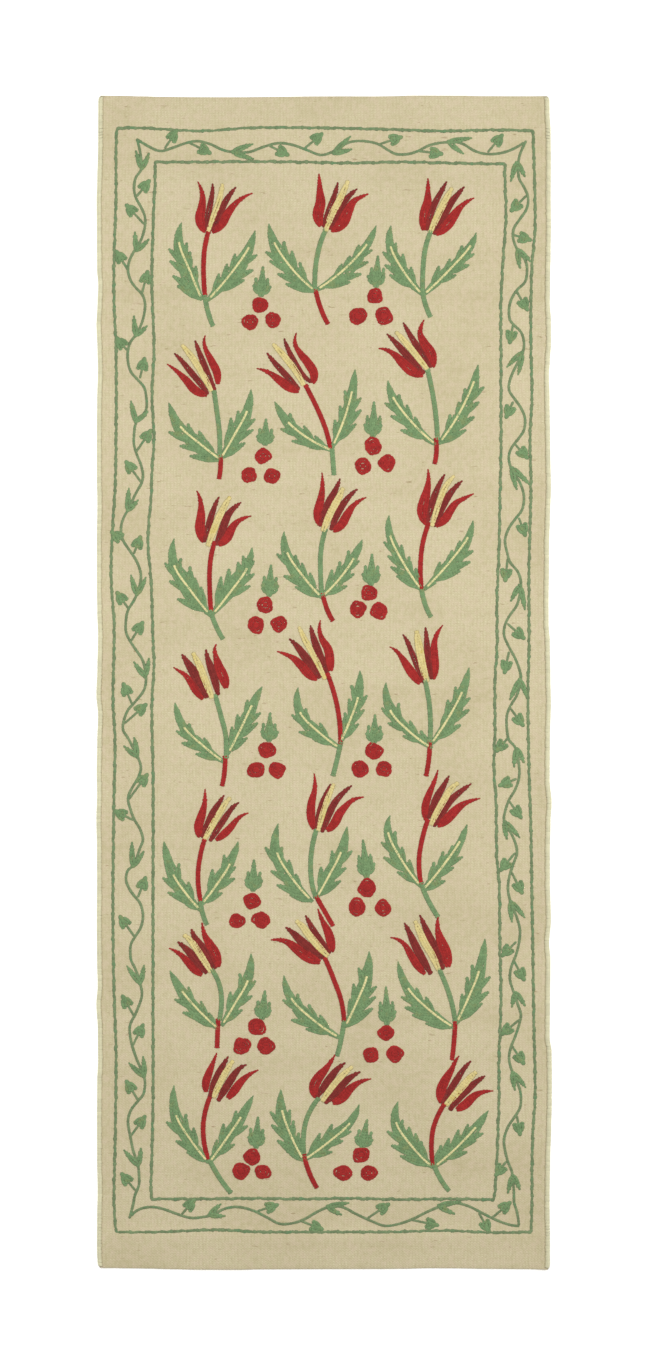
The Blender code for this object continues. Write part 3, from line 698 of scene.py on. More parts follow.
def vine_rows():
    """Return the rows of the vine, its slips and its heart-shaped leaves."""
    rows = []
    for line in VINE.values():
        path = smooth_line(line)
        rows.append((path, np.full(len(path), VINE_WIDTH), "vine", 0.0))
    for foot, first, second in SLIPS:
        foot, first, second = (np.array(p, float) for p in (foot, first, second))
        for order, (tip, other) in enumerate(((first, second), (second, first))):
            bend = (foot + tip) / 2.0 + (tip - other) / np.linalg.norm(tip - other) * 0.6
            start = foot + (foot - tip) / np.linalg.norm(foot - tip) * 1.5
            rows += petal((start, bend, tip), 5.8 - 0.4 * order, "slip", "green", 0.1 + 0.1 * order)
    for middle, foot in HEARTS:
        middle, foot = np.array(middle, float), np.array(foot, float)
        axis = middle - foot
        axis /= np.linalg.norm(axis)
        across = np.array([axis[1], -axis[0]])
        tip = middle + axis * 7.4
        notch = middle - axis * 3.6
        stalk = smooth_line((foot, notch))
        rows.append((stalk, np.full(len(stalk), STALK_WIDTH), "vine", 0.0))
        for sign in (-1.0, 1.0):
            lobe = middle - axis * 5.2 + across * sign * 4.6
            bend = middle + across * sign * 2.7 - axis * 0.6
            rows += petal((lobe, bend, tip), 6.2, "heart", "green", 0.1)
        rows += petal((notch - axis * 1.2, middle, tip - axis), 5.2, "slip", "green", 0.2)
    return rows


def chain(rows, rng, pitch=PITCH):
    """Lay chain stitches along rows.

    Returns arrays of x, y, turn, length, width, layer and a list of yarns.
    """
    out, yarns = [], []
    for path, width, yarn, layer in rows:
        if len(path) < 2:
            continue
        run = np.concatenate([[0.0], np.cumsum(np.linalg.norm(np.diff(path, axis=0), axis=1))])
        if run[-1] < 0.9:
            continue
        step = pitch * (1.12 if yarn == "line" else 1.0)
        count = max(1, int(round(run[-1] / step)))
        cuts = np.linspace(0.0, run[-1], count + 1)
        cuts[1:-1] += rng.uniform(-0.12, 0.12, count - 1) * step if count > 1 else 0.0
        xs, ys = (np.interp(cuts, run, path[:, i]) for i in (0, 1))
        mid = (cuts[:-1] + cuts[1:]) / 2.0
        wide = np.interp(mid, run, width)
        for k in range(count):
            dx, dy = xs[k + 1] - xs[k], ys[k + 1] - ys[k]
            out.append(((xs[k] + xs[k + 1]) / 2.0, (ys[k] + ys[k + 1]) / 2.0, math.atan2(dy, dx),
                        math.hypot(dx, dy), wide[k], layer))
            yarns.append(yarn)
    return np.array(out), yarns


def thin_out(stitches, yarns, near=0.36, beside=0.28):
    """Drop each stitch that lies on an earlier one of the same yarn."""
    keep = []
    cell = {}
    for k, (x, y, turn, length, width, layer) in enumerate(stitches):
        key = (int(x // 4), int(y // 4))
        limit = near * width
        clear = True
        for i in (-1, 0, 1):
            for j in (-1, 0, 1):
                for other in cell.get((key[0] + i, key[1] + j), ()):
                    ox, oy = stitches[other][0], stitches[other][1]
                    dx, dy = x - ox, y - oy
                    across = abs(-math.sin(turn) * dx + math.cos(turn) * dy)
                    along = abs(math.cos(turn) * dx + math.sin(turn) * dy)
                    if across < limit and along < beside * length and yarns[other] == yarns[k]:
                        clear = False
        if clear:
            keep.append(k)
            cell.setdefault(key, []).append(k)
    return stitches[keep], [yarns[k] for k in keep]


def all_stitches():
    """Return the stitches of the whole pattern by group."""
    rng = np.random.default_rng(7)
    leaves, veins = leaf_rows(rng)
    berries, berry_leaves = berry_rows(rng)
    groups = {
        "frames": frame_rows(rng),
        "vine": vine_rows(),
        "leaves": leaves + berry_leaves,
        "stems": stem_rows(),
        "petals": flower_rows(),
        "berries": berries,
        "veins": veins,
    }
    return {name: thin_out(*chain(rows, rng)) for name, rows in groups.items()}


# Cloth, in metres.
CLOTH_THICKNESS = 0.0022
HEM_DEPTH = 0.045          # how far each end is turned under
HEM_GAP = 0.0004           # between the two layers of a hem
HEM_RUNOUT = 0.025         # length over which the face comes down off the hem
FOLD_STEPS = 6             # segments around the fold of a hem
ROW_STEP = 0.020           # length of one row of faces in the field
CORNER_INSET = 0.0045      # rounding of the four corners, across and along
CORNER_LENGTH = 0.0090

# Whipped sides, in metres.
OVERCAST_WIDTH = 0.0078    # from the outline in over the cloth
OVERCAST_THICKNESS = 0.0009
OVERCAST_CLEARANCE = 0.0004
OVERCAST_END = 0.0032      # distance from the ends of the rug
LIFT_START = 0.022         # the cloth rises onto the whipping between these two
LIFT_END = 0.0095          # distances from the outline

# Left side of the rug.
#   y,    x
LEFT_SIDE = (
    (96, 98.3), (125, 98.2), (150, 98.0), (180, 97.2), (200, 96.6), (230, 96.8),
    (268, 97.0), (286, 98.2), (302, 97.5), (325, 96.4), (350, 97.4), (370, 97.9),
    (400, 97.1), (430, 96.8), (478, 96.8), (502, 97.3), (540, 96.8), (585, 96.8),
    (612, 97.2), (636, 98.0), (668, 97.3), (694, 96.3), (716, 98.0), (742, 97.1),
    (772, 96.6), (792, 97.0), (820, 96.3), (850, 96.9), (885, 97.0), (922, 96.7),
    (960, 97.0), (986, 97.6), (1004, 96.3), (1030, 97.8), (1060, 98.0), (1082, 97.1),
    (1120, 96.9), (1160, 97.0), (1192, 97.6), (1222, 97.0), (1252, 97.0), (1270, 97.8),
)

# Right side of the rug.
#   y,    x
RIGHT_SIDE = (
    (96, 549.5), (112, 549.6), (132, 550.7), (160, 551.0), (198, 550.8), (225, 551.1),
    (252, 550.7), (280, 550.2), (302, 550.0), (322, 551.0), (344, 551.1), (360, 550.0),
    (375, 549.0), (400, 549.7), (450, 550.3), (488, 551.0), (520, 550.0), (545, 549.1),
    (572, 549.0), (600, 548.6), (624, 548.7), (641, 549.9), (680, 550.5), (702, 551.0),
    (740, 550.0), (780, 549.8), (803, 551.7), (822, 550.6), (850, 550.0), (882, 550.0),
    (920, 551.0), (944, 549.2), (960, 550.5), (1000, 550.1), (1038, 549.8), (1052, 551.7),
    (1074, 552.0), (1102, 551.9), (1130, 551.2), (1160, 550.2), (1200, 549.7), (1240, 550.0),
    (1270, 550.0),
)

# Top end, along the fold.
#   x,    y
TOP_END = (
    (98, 95.8), (122, 95.8), (140, 96.3), (162, 96.8), (200, 97.2), (240, 97.2),
    (280, 96.8), (312, 96.4), (345, 96.3), (372, 96.4), (395, 96.1), (412, 95.5),
    (464, 95.6), (482, 96.1), (520, 96.2), (552, 96.2),
)

# Bottom end, along the fold.
#   x,    y
BOTTOM_END = (
    (98, 1267.8), (130, 1268.3), (150, 1268.6), (172, 1269.2), (200, 1269.8),
    (238, 1269.9), (260, 1269.4), (300, 1269.2), (335, 1269.1), (380, 1269.0),
    (402, 1268.8), (430, 1268.2), (452, 1268.3), (490, 1268.9), (522, 1269.1),
    (552, 1269.8),
)


def through(stations, at):
    """Return the value at a place on the smooth line through the stations."""
    if at <= stations[0][0]:
        return stations[0][1]
    if at >= stations[-1][0]:
        return stations[-1][1]
    for (a, low), (b, high) in zip(stations, stations[1:]):
        if at <= b:
            t = (at - a) / (b - a)
            return low + (high - low) * t * t * (3.0 - 2.0 * t)
    return stations[-1][1]


def ease(value, start, end):
    """Rise smoothly from 0 at start to 1 at end."""
    t = min(1.0, max(0.0, (value - start) / (end - start)))
    return t * t * (3.0 - 2.0 * t)


def end_y(table, x):
    """Return the y of an end of the rug, in metres, above the place x."""
    return (CHART_CENTRE[1] - through(table, x / UNIT + CHART_CENTRE[0])) * UNIT


TOP_Y = (CHART_CENTRE[1] - min(y for _, y in TOP_END)) * UNIT
BOTTOM_Y = (CHART_CENTRE[1] - max(y for _, y in BOTTOM_END)) * UNIT


def follow_ends(x, y):
    """Shift a place along the rug so that its ends follow their uneven folds."""
    top = (end_y(TOP_END, x) - TOP_Y) * ease(y, TOP_Y - 0.25, TOP_Y - 0.06)
    bottom = (end_y(BOTTOM_END, x) - BOTTOM_Y) * ease(-y, -BOTTOM_Y - 0.25, -BOTTOM_Y - 0.06)
    return y + top + bottom


def corner_inset(y):
    """Return how far the rounded corner draws the side in at a place along the rug."""
    near = min(TOP_Y - y, y - BOTTOM_Y)
    if near >= CORNER_LENGTH:
        return 0.0
    part = min(1.0, (CORNER_LENGTH - near) / CORNER_LENGTH)
    return CORNER_INSET * (1.0 - math.sqrt(1.0 - part * part))


def side_x(table, y):
    """Return the x of a side of the rug, in metres, beside the place y."""
    x = (through(table, CHART_CENTRE[1] - y / UNIT) - CHART_CENTRE[0]) * UNIT
    return x - math.copysign(corner_inset(y), x)


def face_rows():
    """List (y, height) along the cloth's upper run, from the bottom fold to the top one.

    Height is that of the middle of the cloth above the middle of a single layer.
    """
    layer = CLOTH_THICKNESS + HEM_GAP
    fold_end = (CLOTH_THICKNESS + layer) / 2.0
    ramp = HEM_DEPTH + 0.002
    hem = [(fold_end, layer), (0.009, layer), (0.022, layer), (ramp, layer)]
    for step in range(1, 6):
        t = step / 5.0
        hem.append((ramp + HEM_RUNOUT * t, layer * (1.0 - ease(t, 0.0, 1.0))))
    inner = hem[-1][0]
    length = TOP_Y - BOTTOM_Y
    count = round((length - 2.0 * inner) / ROW_STEP)
    field = [(inner + (length - 2.0 * inner) * k / count, 0.0) for k in range(1, count)]
    rows = hem + field + [(length - d, h) for d, h in reversed(hem)]
    return [(BOTTOM_Y + d, h) for d, h in rows]


def cloth_rows():
    """List (y, height) along the whole cloth, from one raw edge to the other.

    The run starts under the bottom hem, goes around the fold, along the face,
    around the other fold and back under the top hem.
    """
    radius = (CLOTH_THICKNESS + HEM_GAP) / 2.0
    centre = radius + CLOTH_THICKNESS / 2.0
    under = [(HEM_DEPTH, 0.0), (0.030, 0.0), (0.015, 0.0), (centre, 0.0)]
    for step in range(1, FOLD_STEPS):
        turn = math.pi * step / FOLD_STEPS
        under.append((centre - radius * math.sin(turn), radius * (1.0 - math.cos(turn))))
    bottom = [(BOTTOM_Y + d, h) for d, h in under]
    top = [(TOP_Y - d, h) for d, h in reversed(under)]
    return bottom + face_rows() + top


def side_lift(distance):
    """Return how far the cloth is raised, at a distance from the outline, by the whipping."""
    under = OVERCAST_THICKNESS + OVERCAST_CLEARANCE
    return under * (1.0 - ease(distance, LIFT_END, LIFT_START))


def grid(columns, rows):
    """Return a bmesh grid and its vertices by (column, row)."""
    mesh = bmesh.new()
    bmesh.ops.create_grid(mesh, x_segments=columns - 1, y_segments=rows - 1, size=1.0)
    placed = {}
    for vertex in mesh.verts:
        column = round((vertex.co.x + 1.0) / 2.0 * (columns - 1))
        row = round((vertex.co.y + 1.0) / 2.0 * (rows - 1))
        placed[(column, row)] = vertex
    return mesh, placed


def overcast_section(top):
    """List (inward, z) across a whipped side, from under the cloth around to its face."""
    half = OVERCAST_THICKNESS / 2.0
    reach = OVERCAST_CLEARANCE + half
    corner = OVERCAST_THICKNESS + OVERCAST_CLEARANCE
    points = [(OVERCAST_WIDTH, half)]
    for step in range(3):
        turn = math.pi / 2.0 * step / 2.0
        points.append((corner - reach * math.sin(turn), corner - reach * math.cos(turn)))
    for step in range(3):
        turn = math.pi / 2.0 * step / 2.0
        points.append((corner - reach * math.cos(turn), top + reach * math.sin(turn)))
    points.append((OVERCAST_WIDTH, top + reach))
    return points


# Stitches, in metres.
STITCH_SINK = 0.0003       # depth to which its foot sits in the cloth
LAYER_STEP = 0.0006        # rise of a row that is sewn over others
SPREAD = 1.31              # width of a stitch against its row, as neighbours press together
RIPPLE = 0.0003            # how far the cloth lies off the floor, unevenly

FACE = np.array(face_rows())


def ripple(x, y):
    """Return the small rise of the cloth, which doesn't lie quite flat."""
    wave = (np.sin(7.3 * x + 3.1 * y + 0.4) + 0.8 * np.sin(11.0 * y - 5.2 * x + 1.9)
            + 0.6 * np.sin(23.0 * y + 9.0 * x + 0.7) + 0.5 * np.sin(31.0 * x - 14.0 * y + 2.6))
    return RIPPLE * (0.5 + wave / 5.8)


def cloth_top(x, y):
    """Return the height of the face of the cloth at places on it."""
    left = np.interp(CHART_CENTRE[1] - y / UNIT, *zip(*LEFT_SIDE))
    right = np.interp(CHART_CENTRE[1] - y / UNIT, *zip(*RIGHT_SIDE))
    edge = np.minimum(x - (left - CHART_CENTRE[0]) * UNIT, (right - CHART_CENTRE[0]) * UNIT - x)
    near = np.clip((edge - LIFT_END) / (LIFT_START - LIFT_END), 0.0, 1.0)
    lift = (OVERCAST_THICKNESS + OVERCAST_CLEARANCE) * (1.0 - near * near * (3.0 - 2.0 * near))
    return CLOTH_THICKNESS + np.interp(y, FACE[:, 0], FACE[:, 1]) + lift + ripple(x, y)


def linear(colour):
    """Turn an sRGB hex value into linear red, green, blue and alpha."""
    parts = [int(colour[i:i + 2], 16) / 255.0 for i in (1, 3, 5)]
    return [p / 12.92 if p <= 0.04045 else ((p + 0.055) / 1.055) ** 2.4 for p in parts] + [1.0]


def node(tree, kind, inputs=None, **settings):
    """Add a node to a tree, with its settings and its inputs as values or links."""
    made = tree.nodes.new(kind)
    for name, value in settings.items():
        setattr(made, name, value)
    for name, value in (inputs or {}).items():
        if isinstance(value, bpy.types.NodeSocket):
            tree.links.new(value, made.inputs[name])
        else:
            made.inputs[name].default_value = value
    return made


def new_material(name):
    """Return a new material, its node tree and its Principled shader."""
    material = bpy.data.materials.new(name)
    material.use_nodes = True
    return material, material.node_tree, material.node_tree.nodes["Principled BSDF"]


def stitched_wool(name, colour, shadow, spread=0.16, fleck=None, ends=None):
    """Hand-dyed two-ply wool, worked in chain stitch: matt, with a groove along each stitch.

    The eye sees the soft twist of the plies, painted shade in the seams between the rows
    and in the groove of each stitch, and small differences from stitch to stitch.
    """
    material, tree, shader = new_material(name)
    place = node(tree, "ShaderNodeUVMap", uv_map="yarn")
    across_along = node(tree, "ShaderNodeSeparateXYZ", {0: place.outputs[0]})
    u = node(tree, "ShaderNodeMath", {0: across_along.outputs[0]}, operation="ABSOLUTE").outputs[0]
    v = across_along.outputs[1]
    # The plies of the yarn slant away from the groove, one turn to about 1.6 mm.
    slant = node(tree, "ShaderNodeMath", {0: u, 1: 1.3, 2: v}, operation="MULTIPLY_ADD").outputs[0]
    turns = node(tree, "ShaderNodeMath", {0: slant, 1: 15.0}, operation="MULTIPLY").outputs[0]
    plies = node(tree, "ShaderNodeMath", {0: turns}, operation="SINE").outputs[0]
    shade = node(tree, "ShaderNodeAttribute", attribute_name="shade").outputs["Fac"]
    coords = node(tree, "ShaderNodeTexCoord").outputs["Object"]
    # Fibres stand out at about 0.8 mm, and the dye varies over a few centimetres.
    fibres = node(tree, "ShaderNodeTexNoise", {"Vector": coords, "Scale": 1250.0, "Detail": 3.0,
                                               "Roughness": 0.65}).outputs["Fac"]
    dye = node(tree, "ShaderNodeTexNoise", {"Vector": coords, "Scale": 38.0, "Detail": 2.0}).outputs["Fac"]
    # Painted shade: the colour turns towards the shadow colour at the edges of each stitch, where the rows
    # meet, and in the groove along its middle.
    edge = node(tree, "ShaderNodeMapRange", {0: u, 1: 0.72, 2: 1.0, 3: 0.0, 4: 0.45}).outputs[0]
    groove = node(tree, "ShaderNodeMapRange", {0: u, 1: 0.0, 2: 0.24, 3: 0.30, 4: 0.0}).outputs[0]
    painted_seam_shade = node(tree, "ShaderNodeMath", {0: edge, 1: groove}, operation="MAXIMUM").outputs[0]
    vary = node(tree, "ShaderNodeMath", {0: shade, 1: dye}, operation="ADD").outputs[0]
    vary = node(tree, "ShaderNodeMath", {0: vary, 1: fibres}, operation="ADD").outputs[0]
    amount = node(tree, "ShaderNodeMapRange", {0: vary, 1: 0.9, 2: 2.1, 3: 0.0, 4: 1.0}).outputs[0]
    base = linear(colour)
    low = [c * (1.0 - spread) for c in base[:3]] + [1.0]
    high = [min(1.0, c * (1.0 + spread)) for c in base[:3]] + [1.0]
    body = node(tree, "ShaderNodeMix", {0: amount, 6: low, 7: high}, data_type="RGBA").outputs[2]
    if fleck:
        spots = node(tree, "ShaderNodeTexNoise", {"Vector": coords, "Scale": 95.0, "Detail": 2.0})
        some = node(tree, "ShaderNodeMapRange", {0: spots.outputs["Fac"], 1: 0.56, 2: 0.70, 3: 0.0, 4: 0.8})
        body = node(tree, "ShaderNodeMix", {0: some.outputs[0], 6: body, 7: linear(fleck)},
                    data_type="RGBA").outputs[2]
    # Paint the shade into the seams and the groove.
    final = node(tree, "ShaderNodeMix", {0: painted_seam_shade, 6: body, 7: linear(shadow)}, data_type="RGBA").outputs[2]
    # Painted shade: the ends colour darkens the inner ends of the whipping's wraps, where they meet the face
    # of the cloth.
    if ends:
        near = node(tree, "ShaderNodeMapRange", {0: v, 1: 3.55, 2: 3.9, 3: 0.0, 4: 0.75}).outputs[0]
        final = node(tree, "ShaderNodeMix", {0: near, 6: final, 7: linear(ends)}, data_type="RGBA").outputs[2]
    tree.links.new(final, shader.inputs["Base Color"])
    height = node(tree, "ShaderNodeMath", {0: plies, 1: 0.35, 2: fibres}, operation="MULTIPLY_ADD").outputs[0]
    bump = node(tree, "ShaderNodeBump", {"Strength": 0.5, "Distance": 0.00025, "Height": height})
    tree.links.new(bump.outputs[0], shader.inputs["Normal"])
    shader.inputs["Roughness"].default_value = 0.92
    shader.inputs["Specular IOR Level"].default_value = 0.25
    shader.inputs["Sheen Weight"].default_value = 0.12
    shader.inputs["Sheen Roughness"].default_value = 0.5
    return material


def flat_woven_wool(name, colours):
    """Undyed hand-spun wool in a plain flat weave: matt and slightly uneven.

    The eye sees fine crossed ribs with painted shade between them, thicker and thinner
    threads, faint bands and clouds of tone, and a few darker hairs spun in with the cream.
    """
    material, tree, shader = new_material(name)
    coords = node(tree, "ShaderNodeTexCoord").outputs["Object"]
    base, light, dark, hair, pink = (linear(c) for c in colours)
    fields = {}
    # Unevenness of the spinning: stretch along X and Y, size, detail and roughness.
    for field, scale, size, detail, rough in (
            ("wander", (1.0, 1.0, 1.0), 42.0, 2.0, 0.5), ("weft_slub", (70.0, 300.0, 1.0), 1.0, 3.0, 0.6),
            ("warp_slub", (280.0, 90.0, 1.0), 1.0, 3.0, 0.6), ("spun", (1.0, 1.0, 1.0), 120.0, 2.0, 0.5),
            ("clouds", (1.0, 1.0, 1.0), 7.0, 3.0, 0.5), ("bands", (1.2, 26.0, 1.0), 1.0, 2.0, 0.5),
            ("grain", (1.0, 1.0, 1.0), 420.0, 3.0, 0.7), ("hairs", (50.0, 210.0, 1.0), 1.0, 2.0, 0.6),
            ("places", (1.0, 1.0, 1.0), 24.0, 2.0, 0.5)):
        placed = node(tree, "ShaderNodeMapping", {"Vector": coords, "Scale": scale}).outputs[0]
        fields[field] = node(tree, "ShaderNodeTexNoise", {"Vector": placed, "Scale": size, "Detail": detail,
                                                          "Roughness": rough}).outputs["Fac"]
    # Real warp threads are 2 mm apart and wefts 1 mm: both are drawn coarser, to show.
    # They wander by up to a millimetre or two from straight.
    split = node(tree, "ShaderNodeSeparateXYZ", {0: coords})
    for field, axis, spacing in (("warp", 0, 0.0050), ("weft", 1, 0.0038)):
        bent = node(tree, "ShaderNodeMath", {0: fields["wander"], 1: 0.004, 2: split.outputs[axis]},
                    operation="MULTIPLY_ADD").outputs[0]
        turn = node(tree, "ShaderNodeMath", {0: bent, 1: 2.0 * math.pi / spacing}, operation="MULTIPLY")
        fields[field] = node(tree, "ShaderNodeMath", {0: turn.outputs[0]}, operation="SINE").outputs[0]
    fields["cross"] = node(tree, "ShaderNodeMath", {0: fields["warp"], 1: fields["weft"]},
                           operation="MULTIPLY").outputs[0]
    colour = base
    # Each tone: the field, its range, how much it gives at either end, and the colour.
    # The warp, weft and cross rows are painted shade, darker in the hollows between the threads.
    for field, low, high, least, most, tone in (
            ("weft_slub", 0.30, 0.70, 0.0, 1.0, light), ("warp_slub", 0.44, 0.74, 0.0, 0.55, dark),
            ("clouds", 0.42, 0.72, 0.0, 0.45, dark), ("bands", 0.50, 0.80, 0.0, 0.35, dark),
            ("warp", -1.0, 1.0, 0.22, 0.0, dark), ("weft", -1.0, 1.0, 0.22, 0.0, dark),
            ("cross", -1.0, 1.0, 0.26, 0.0, dark), ("spun", 0.42, 0.66, 0.0, 0.55, pink),
            ("grain", 0.46, 0.74, 0.0, 0.60, dark)):
        amount = node(tree, "ShaderNodeMapRange", {0: fields[field], 1: low, 2: high, 3: least, 4: most})
        colour = node(tree, "ShaderNodeMix", {0: amount.outputs[0], 6: colour, 7: tone},
                      data_type="RGBA").outputs[2]
    long_hairs = node(tree, "ShaderNodeMapRange", {0: fields["hairs"], 1: 0.655, 2: 0.72, 3: 0.0, 4: 0.55})
    here = node(tree, "ShaderNodeMapRange", {0: fields["places"], 1: 0.40, 2: 0.60, 3: 0.0, 4: 1.0})
    flecks = node(tree, "ShaderNodeMath", {0: long_hairs.outputs[0], 1: here.outputs[0]},
                  operation="MULTIPLY")
    colour = node(tree, "ShaderNodeMix", {0: flecks.outputs[0], 6: colour, 7: hair},
                  data_type="RGBA").outputs[2]
    tree.links.new(colour, shader.inputs["Base Color"])
    height = node(tree, "ShaderNodeMath", {0: fields["cross"], 1: 0.5, 2: fields["weft_slub"]},
                  operation="MULTIPLY_ADD").outputs[0]
    height = node(tree, "ShaderNodeMath", {0: fields["grain"], 1: 0.5, 2: height},
                  operation="MULTIPLY_ADD").outputs[0]
    bump = node(tree, "ShaderNodeBump", {"Strength": 0.7, "Distance": 0.0004, "Height": height})
    tree.links.new(bump.outputs[0], shader.inputs["Normal"])
    shader.inputs["Roughness"].default_value = 0.95
    shader.inputs["Specular IOR Level"].default_value = 0.2
    shader.inputs["Sheen Weight"].default_value = 0.10
    shader.inputs["Sheen Roughness"].default_value = 0.5
    return material


def studio_paper(name):
    """Seamless white background paper: matt, with a very faint tooth, and bright under the lights."""
    material, tree, shader = new_material(name)
    coords = node(tree, "ShaderNodeTexCoord").outputs["Object"]
    tooth = node(tree, "ShaderNodeTexNoise", {"Vector": coords, "Scale": 900.0, "Detail": 2.0})
    bump = node(tree, "ShaderNodeBump", {"Strength": 0.05, "Distance": 0.0002,
                                         "Height": tooth.outputs["Fac"]})
    tree.links.new(bump.outputs[0], shader.inputs["Normal"])
    shader.inputs["Base Color"].default_value = linear("#F8F8F8")
    shader.inputs["Roughness"].default_value = 1.0
    shader.inputs["Specular IOR Level"].default_value = 0.0
    shader.inputs["Emission Color"].default_value = (1.0, 1.0, 1.0, 1.0)
    shader.inputs["Emission Strength"].default_value = 0.40
    return material


def add_piece(name, mesh, material):
    """Link a finished mesh as a piece of the rug that rides on its frame."""
    mesh.materials.append(material)
    mesh.polygons.foreach_set("use_smooth", np.ones(len(mesh.polygons), bool))
    mesh.update()
    piece = bpy.data.objects.new(name, mesh)
    bpy.context.scene.collection.objects.link(piece)
    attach(piece, "root")
    return piece


def from_bmesh(name, shape):
    """Turn a bmesh into mesh data."""
    mesh = bpy.data.meshes.new(name)
    shape.to_mesh(mesh)
    shape.free()
    return mesh


def stitch_shape():
    """Model one chain stitch, one unit long and one wide, and return its points and faces.

    It starts as a grid: its two ends are drawn together, its sides are rounded,
    a groove runs along its middle, and its open foot is closed.
    """
    shape = bmesh.new()
    bmesh.ops.create_grid(shape, x_segments=4, y_segments=4, size=1.0)
    # Half width, height of the two lobes and place along the stitch, by row.
    profile = {-1.0: (0.0, 0.30, -0.68), -0.5: (0.84, 0.86, -0.42), 0.0: (1.0, 1.0, -0.02),
               0.5: (0.96, 0.94, 0.40), 1.0: (0.0, 0.40, 0.68)}
    across = {-1.0: 0.0, -0.5: 1.0, 0.0: 0.70, 0.5: 1.0, 1.0: 0.0}
    for vertex in shape.verts:
        row, column = round(vertex.co.x * 2.0) / 2.0, round(vertex.co.y * 2.0) / 2.0
        half, height, along = profile[row]
        edge = column * (1.18 if abs(column) == 0.5 else 1.0)
        vertex.co = Vector((along, edge * half * 0.5, across[column] * height))
        if half == 0.0:
            vertex.co.z = height * 0.5
    bmesh.ops.remove_doubles(shape, verts=shape.verts, dist=1e-4)
    bmesh.ops.holes_fill(shape, edges=[e for e in shape.edges if e.is_boundary])
    bmesh.ops.recalc_face_normals(shape, faces=shape.faces)
    shape.verts.index_update()
    points = np.array([v.co[:] for v in shape.verts])
    faces = [[v.index for v in f.verts] for f in shape.faces]
    shape.free()
    return points, faces


def sew(name, groups, yarns, material, relief, rng_seed=3):
    """Join one copy of the stitch for each place in the groups that uses one of the yarns."""
    rows = np.concatenate([np.array([s for s, y in zip(stitches, used) if y in yarns])
                           for stitches, used in groups if any(y in yarns for y in used)])
    rng = np.random.default_rng(rng_seed)
    points, faces = stitch_shape()
    count, size = len(rows), len(points)
    x = (rows[:, 0] - CHART_CENTRE[0]) * UNIT
    y = (CHART_CENTRE[1] - rows[:, 1]) * UNIT
    turn = -rows[:, 2] + rng.normal(0.0, 0.05, count)
    length = rows[:, 3] * UNIT * rng.uniform(1.08, 1.24, count)
    width = rows[:, 4] * UNIT * SPREAD * rng.uniform(0.94, 1.08, count)
    height = (relief + STITCH_SINK) * rng.uniform(0.85, 1.15, count)
    height *= np.clip(width / (ROW * UNIT), 0.55, 1.0)
    along = points[None, :, 0] * length[:, None]
    across = points[None, :, 1] * width[:, None]
    cos, sin = np.cos(turn)[:, None], np.sin(turn)[:, None]
    places = np.empty((count, size, 3))
    places[:, :, 0] = x[:, None] + along * cos - across * sin
    places[:, :, 1] = y[:, None] + along * sin + across * cos
    foot = cloth_top(x, y) - STITCH_SINK + rows[:, 5] * LAYER_STEP
    places[:, :, 2] = foot[:, None] + points[None, :, 2] * height[:, None]
    every = [[start + i for i in face] for start in range(0, count * size, size) for face in faces]
    mesh = bpy.data.meshes.new(name)
    mesh.from_pydata(places.reshape(-1, 3), [], every)
    index = np.empty(len(mesh.loops), int)
    mesh.loops.foreach_get("vertex_index", index)
    local = points[index % size]
    widest = np.abs(points[:, 1]).max()
    uv = np.stack([local[:, 1] / widest, local[:, 0]], axis=1)
    mesh.uv_layers.new(name="yarn").data.foreach_set("uv", uv.ravel().astype(np.float32))
    shade = mesh.attributes.new("shade", "FLOAT", "POINT")
    shade.data.foreach_set("value", np.repeat(rng.uniform(0.0, 1.0, count), size).astype(np.float32))
    return add_piece(name, mesh, material)


def build_ground(settings):
    """Weave the ground cloth with its two turned-under hems, as one sheet."""
    edge = OVERCAST_THICKNESS + OVERCAST_CLEARANCE
    near = (edge, 0.0034, 0.0055, 0.0075, LIFT_END, 0.0115, 0.0135, 0.0155, 0.0175, LIFT_START)
    coarse = cloth_rows()
    rows = [coarse[0]]
    for (y0, h0), (y1, h1) in zip(coarse, coarse[1:]):
        parts = max(1, round(abs(y1 - y0) / 0.007))
        rows += [(y0 + (y1 - y0) * k / parts, h0 + (h1 - h0) * k / parts) for k in range(1, parts + 1)]
    inner = 92
    columns = 2 * len(near) + inner
    shape, placed = grid(columns, len(rows))
    for row, (y, height) in enumerate(rows):
        left, right = side_x(LEFT_SIDE, y), side_x(RIGHT_SIDE, y)
        xs = [left + d for d in near]
        start, stop = left + near[-1], right - near[-1]
        xs += [start + (stop - start) * k / (inner + 1) for k in range(1, inner + 1)]
        xs += [right - d for d in reversed(near)]
        for column, x in enumerate(xs):
            lift = side_lift(min(x - left, right - x))
            at = follow_ends(x, y)
            z = CLOTH_THICKNESS / 2.0 + height + lift + float(ripple(x, y))
            placed[(column, row)].co = (x, at, z)
    mesh = from_bmesh("kilim_ground", shape)
    material = flat_woven_wool("flat_woven_cream_wool", settings.cream())
    ground = add_piece("kilim_ground", mesh, material)
    solid = ground.modifiers.new("thickness", "SOLIDIFY")
    solid.thickness = CLOTH_THICKNESS
    solid.offset = 0.0
    solid.use_even_offset = True
    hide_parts("kilim_cloth")
    return ground


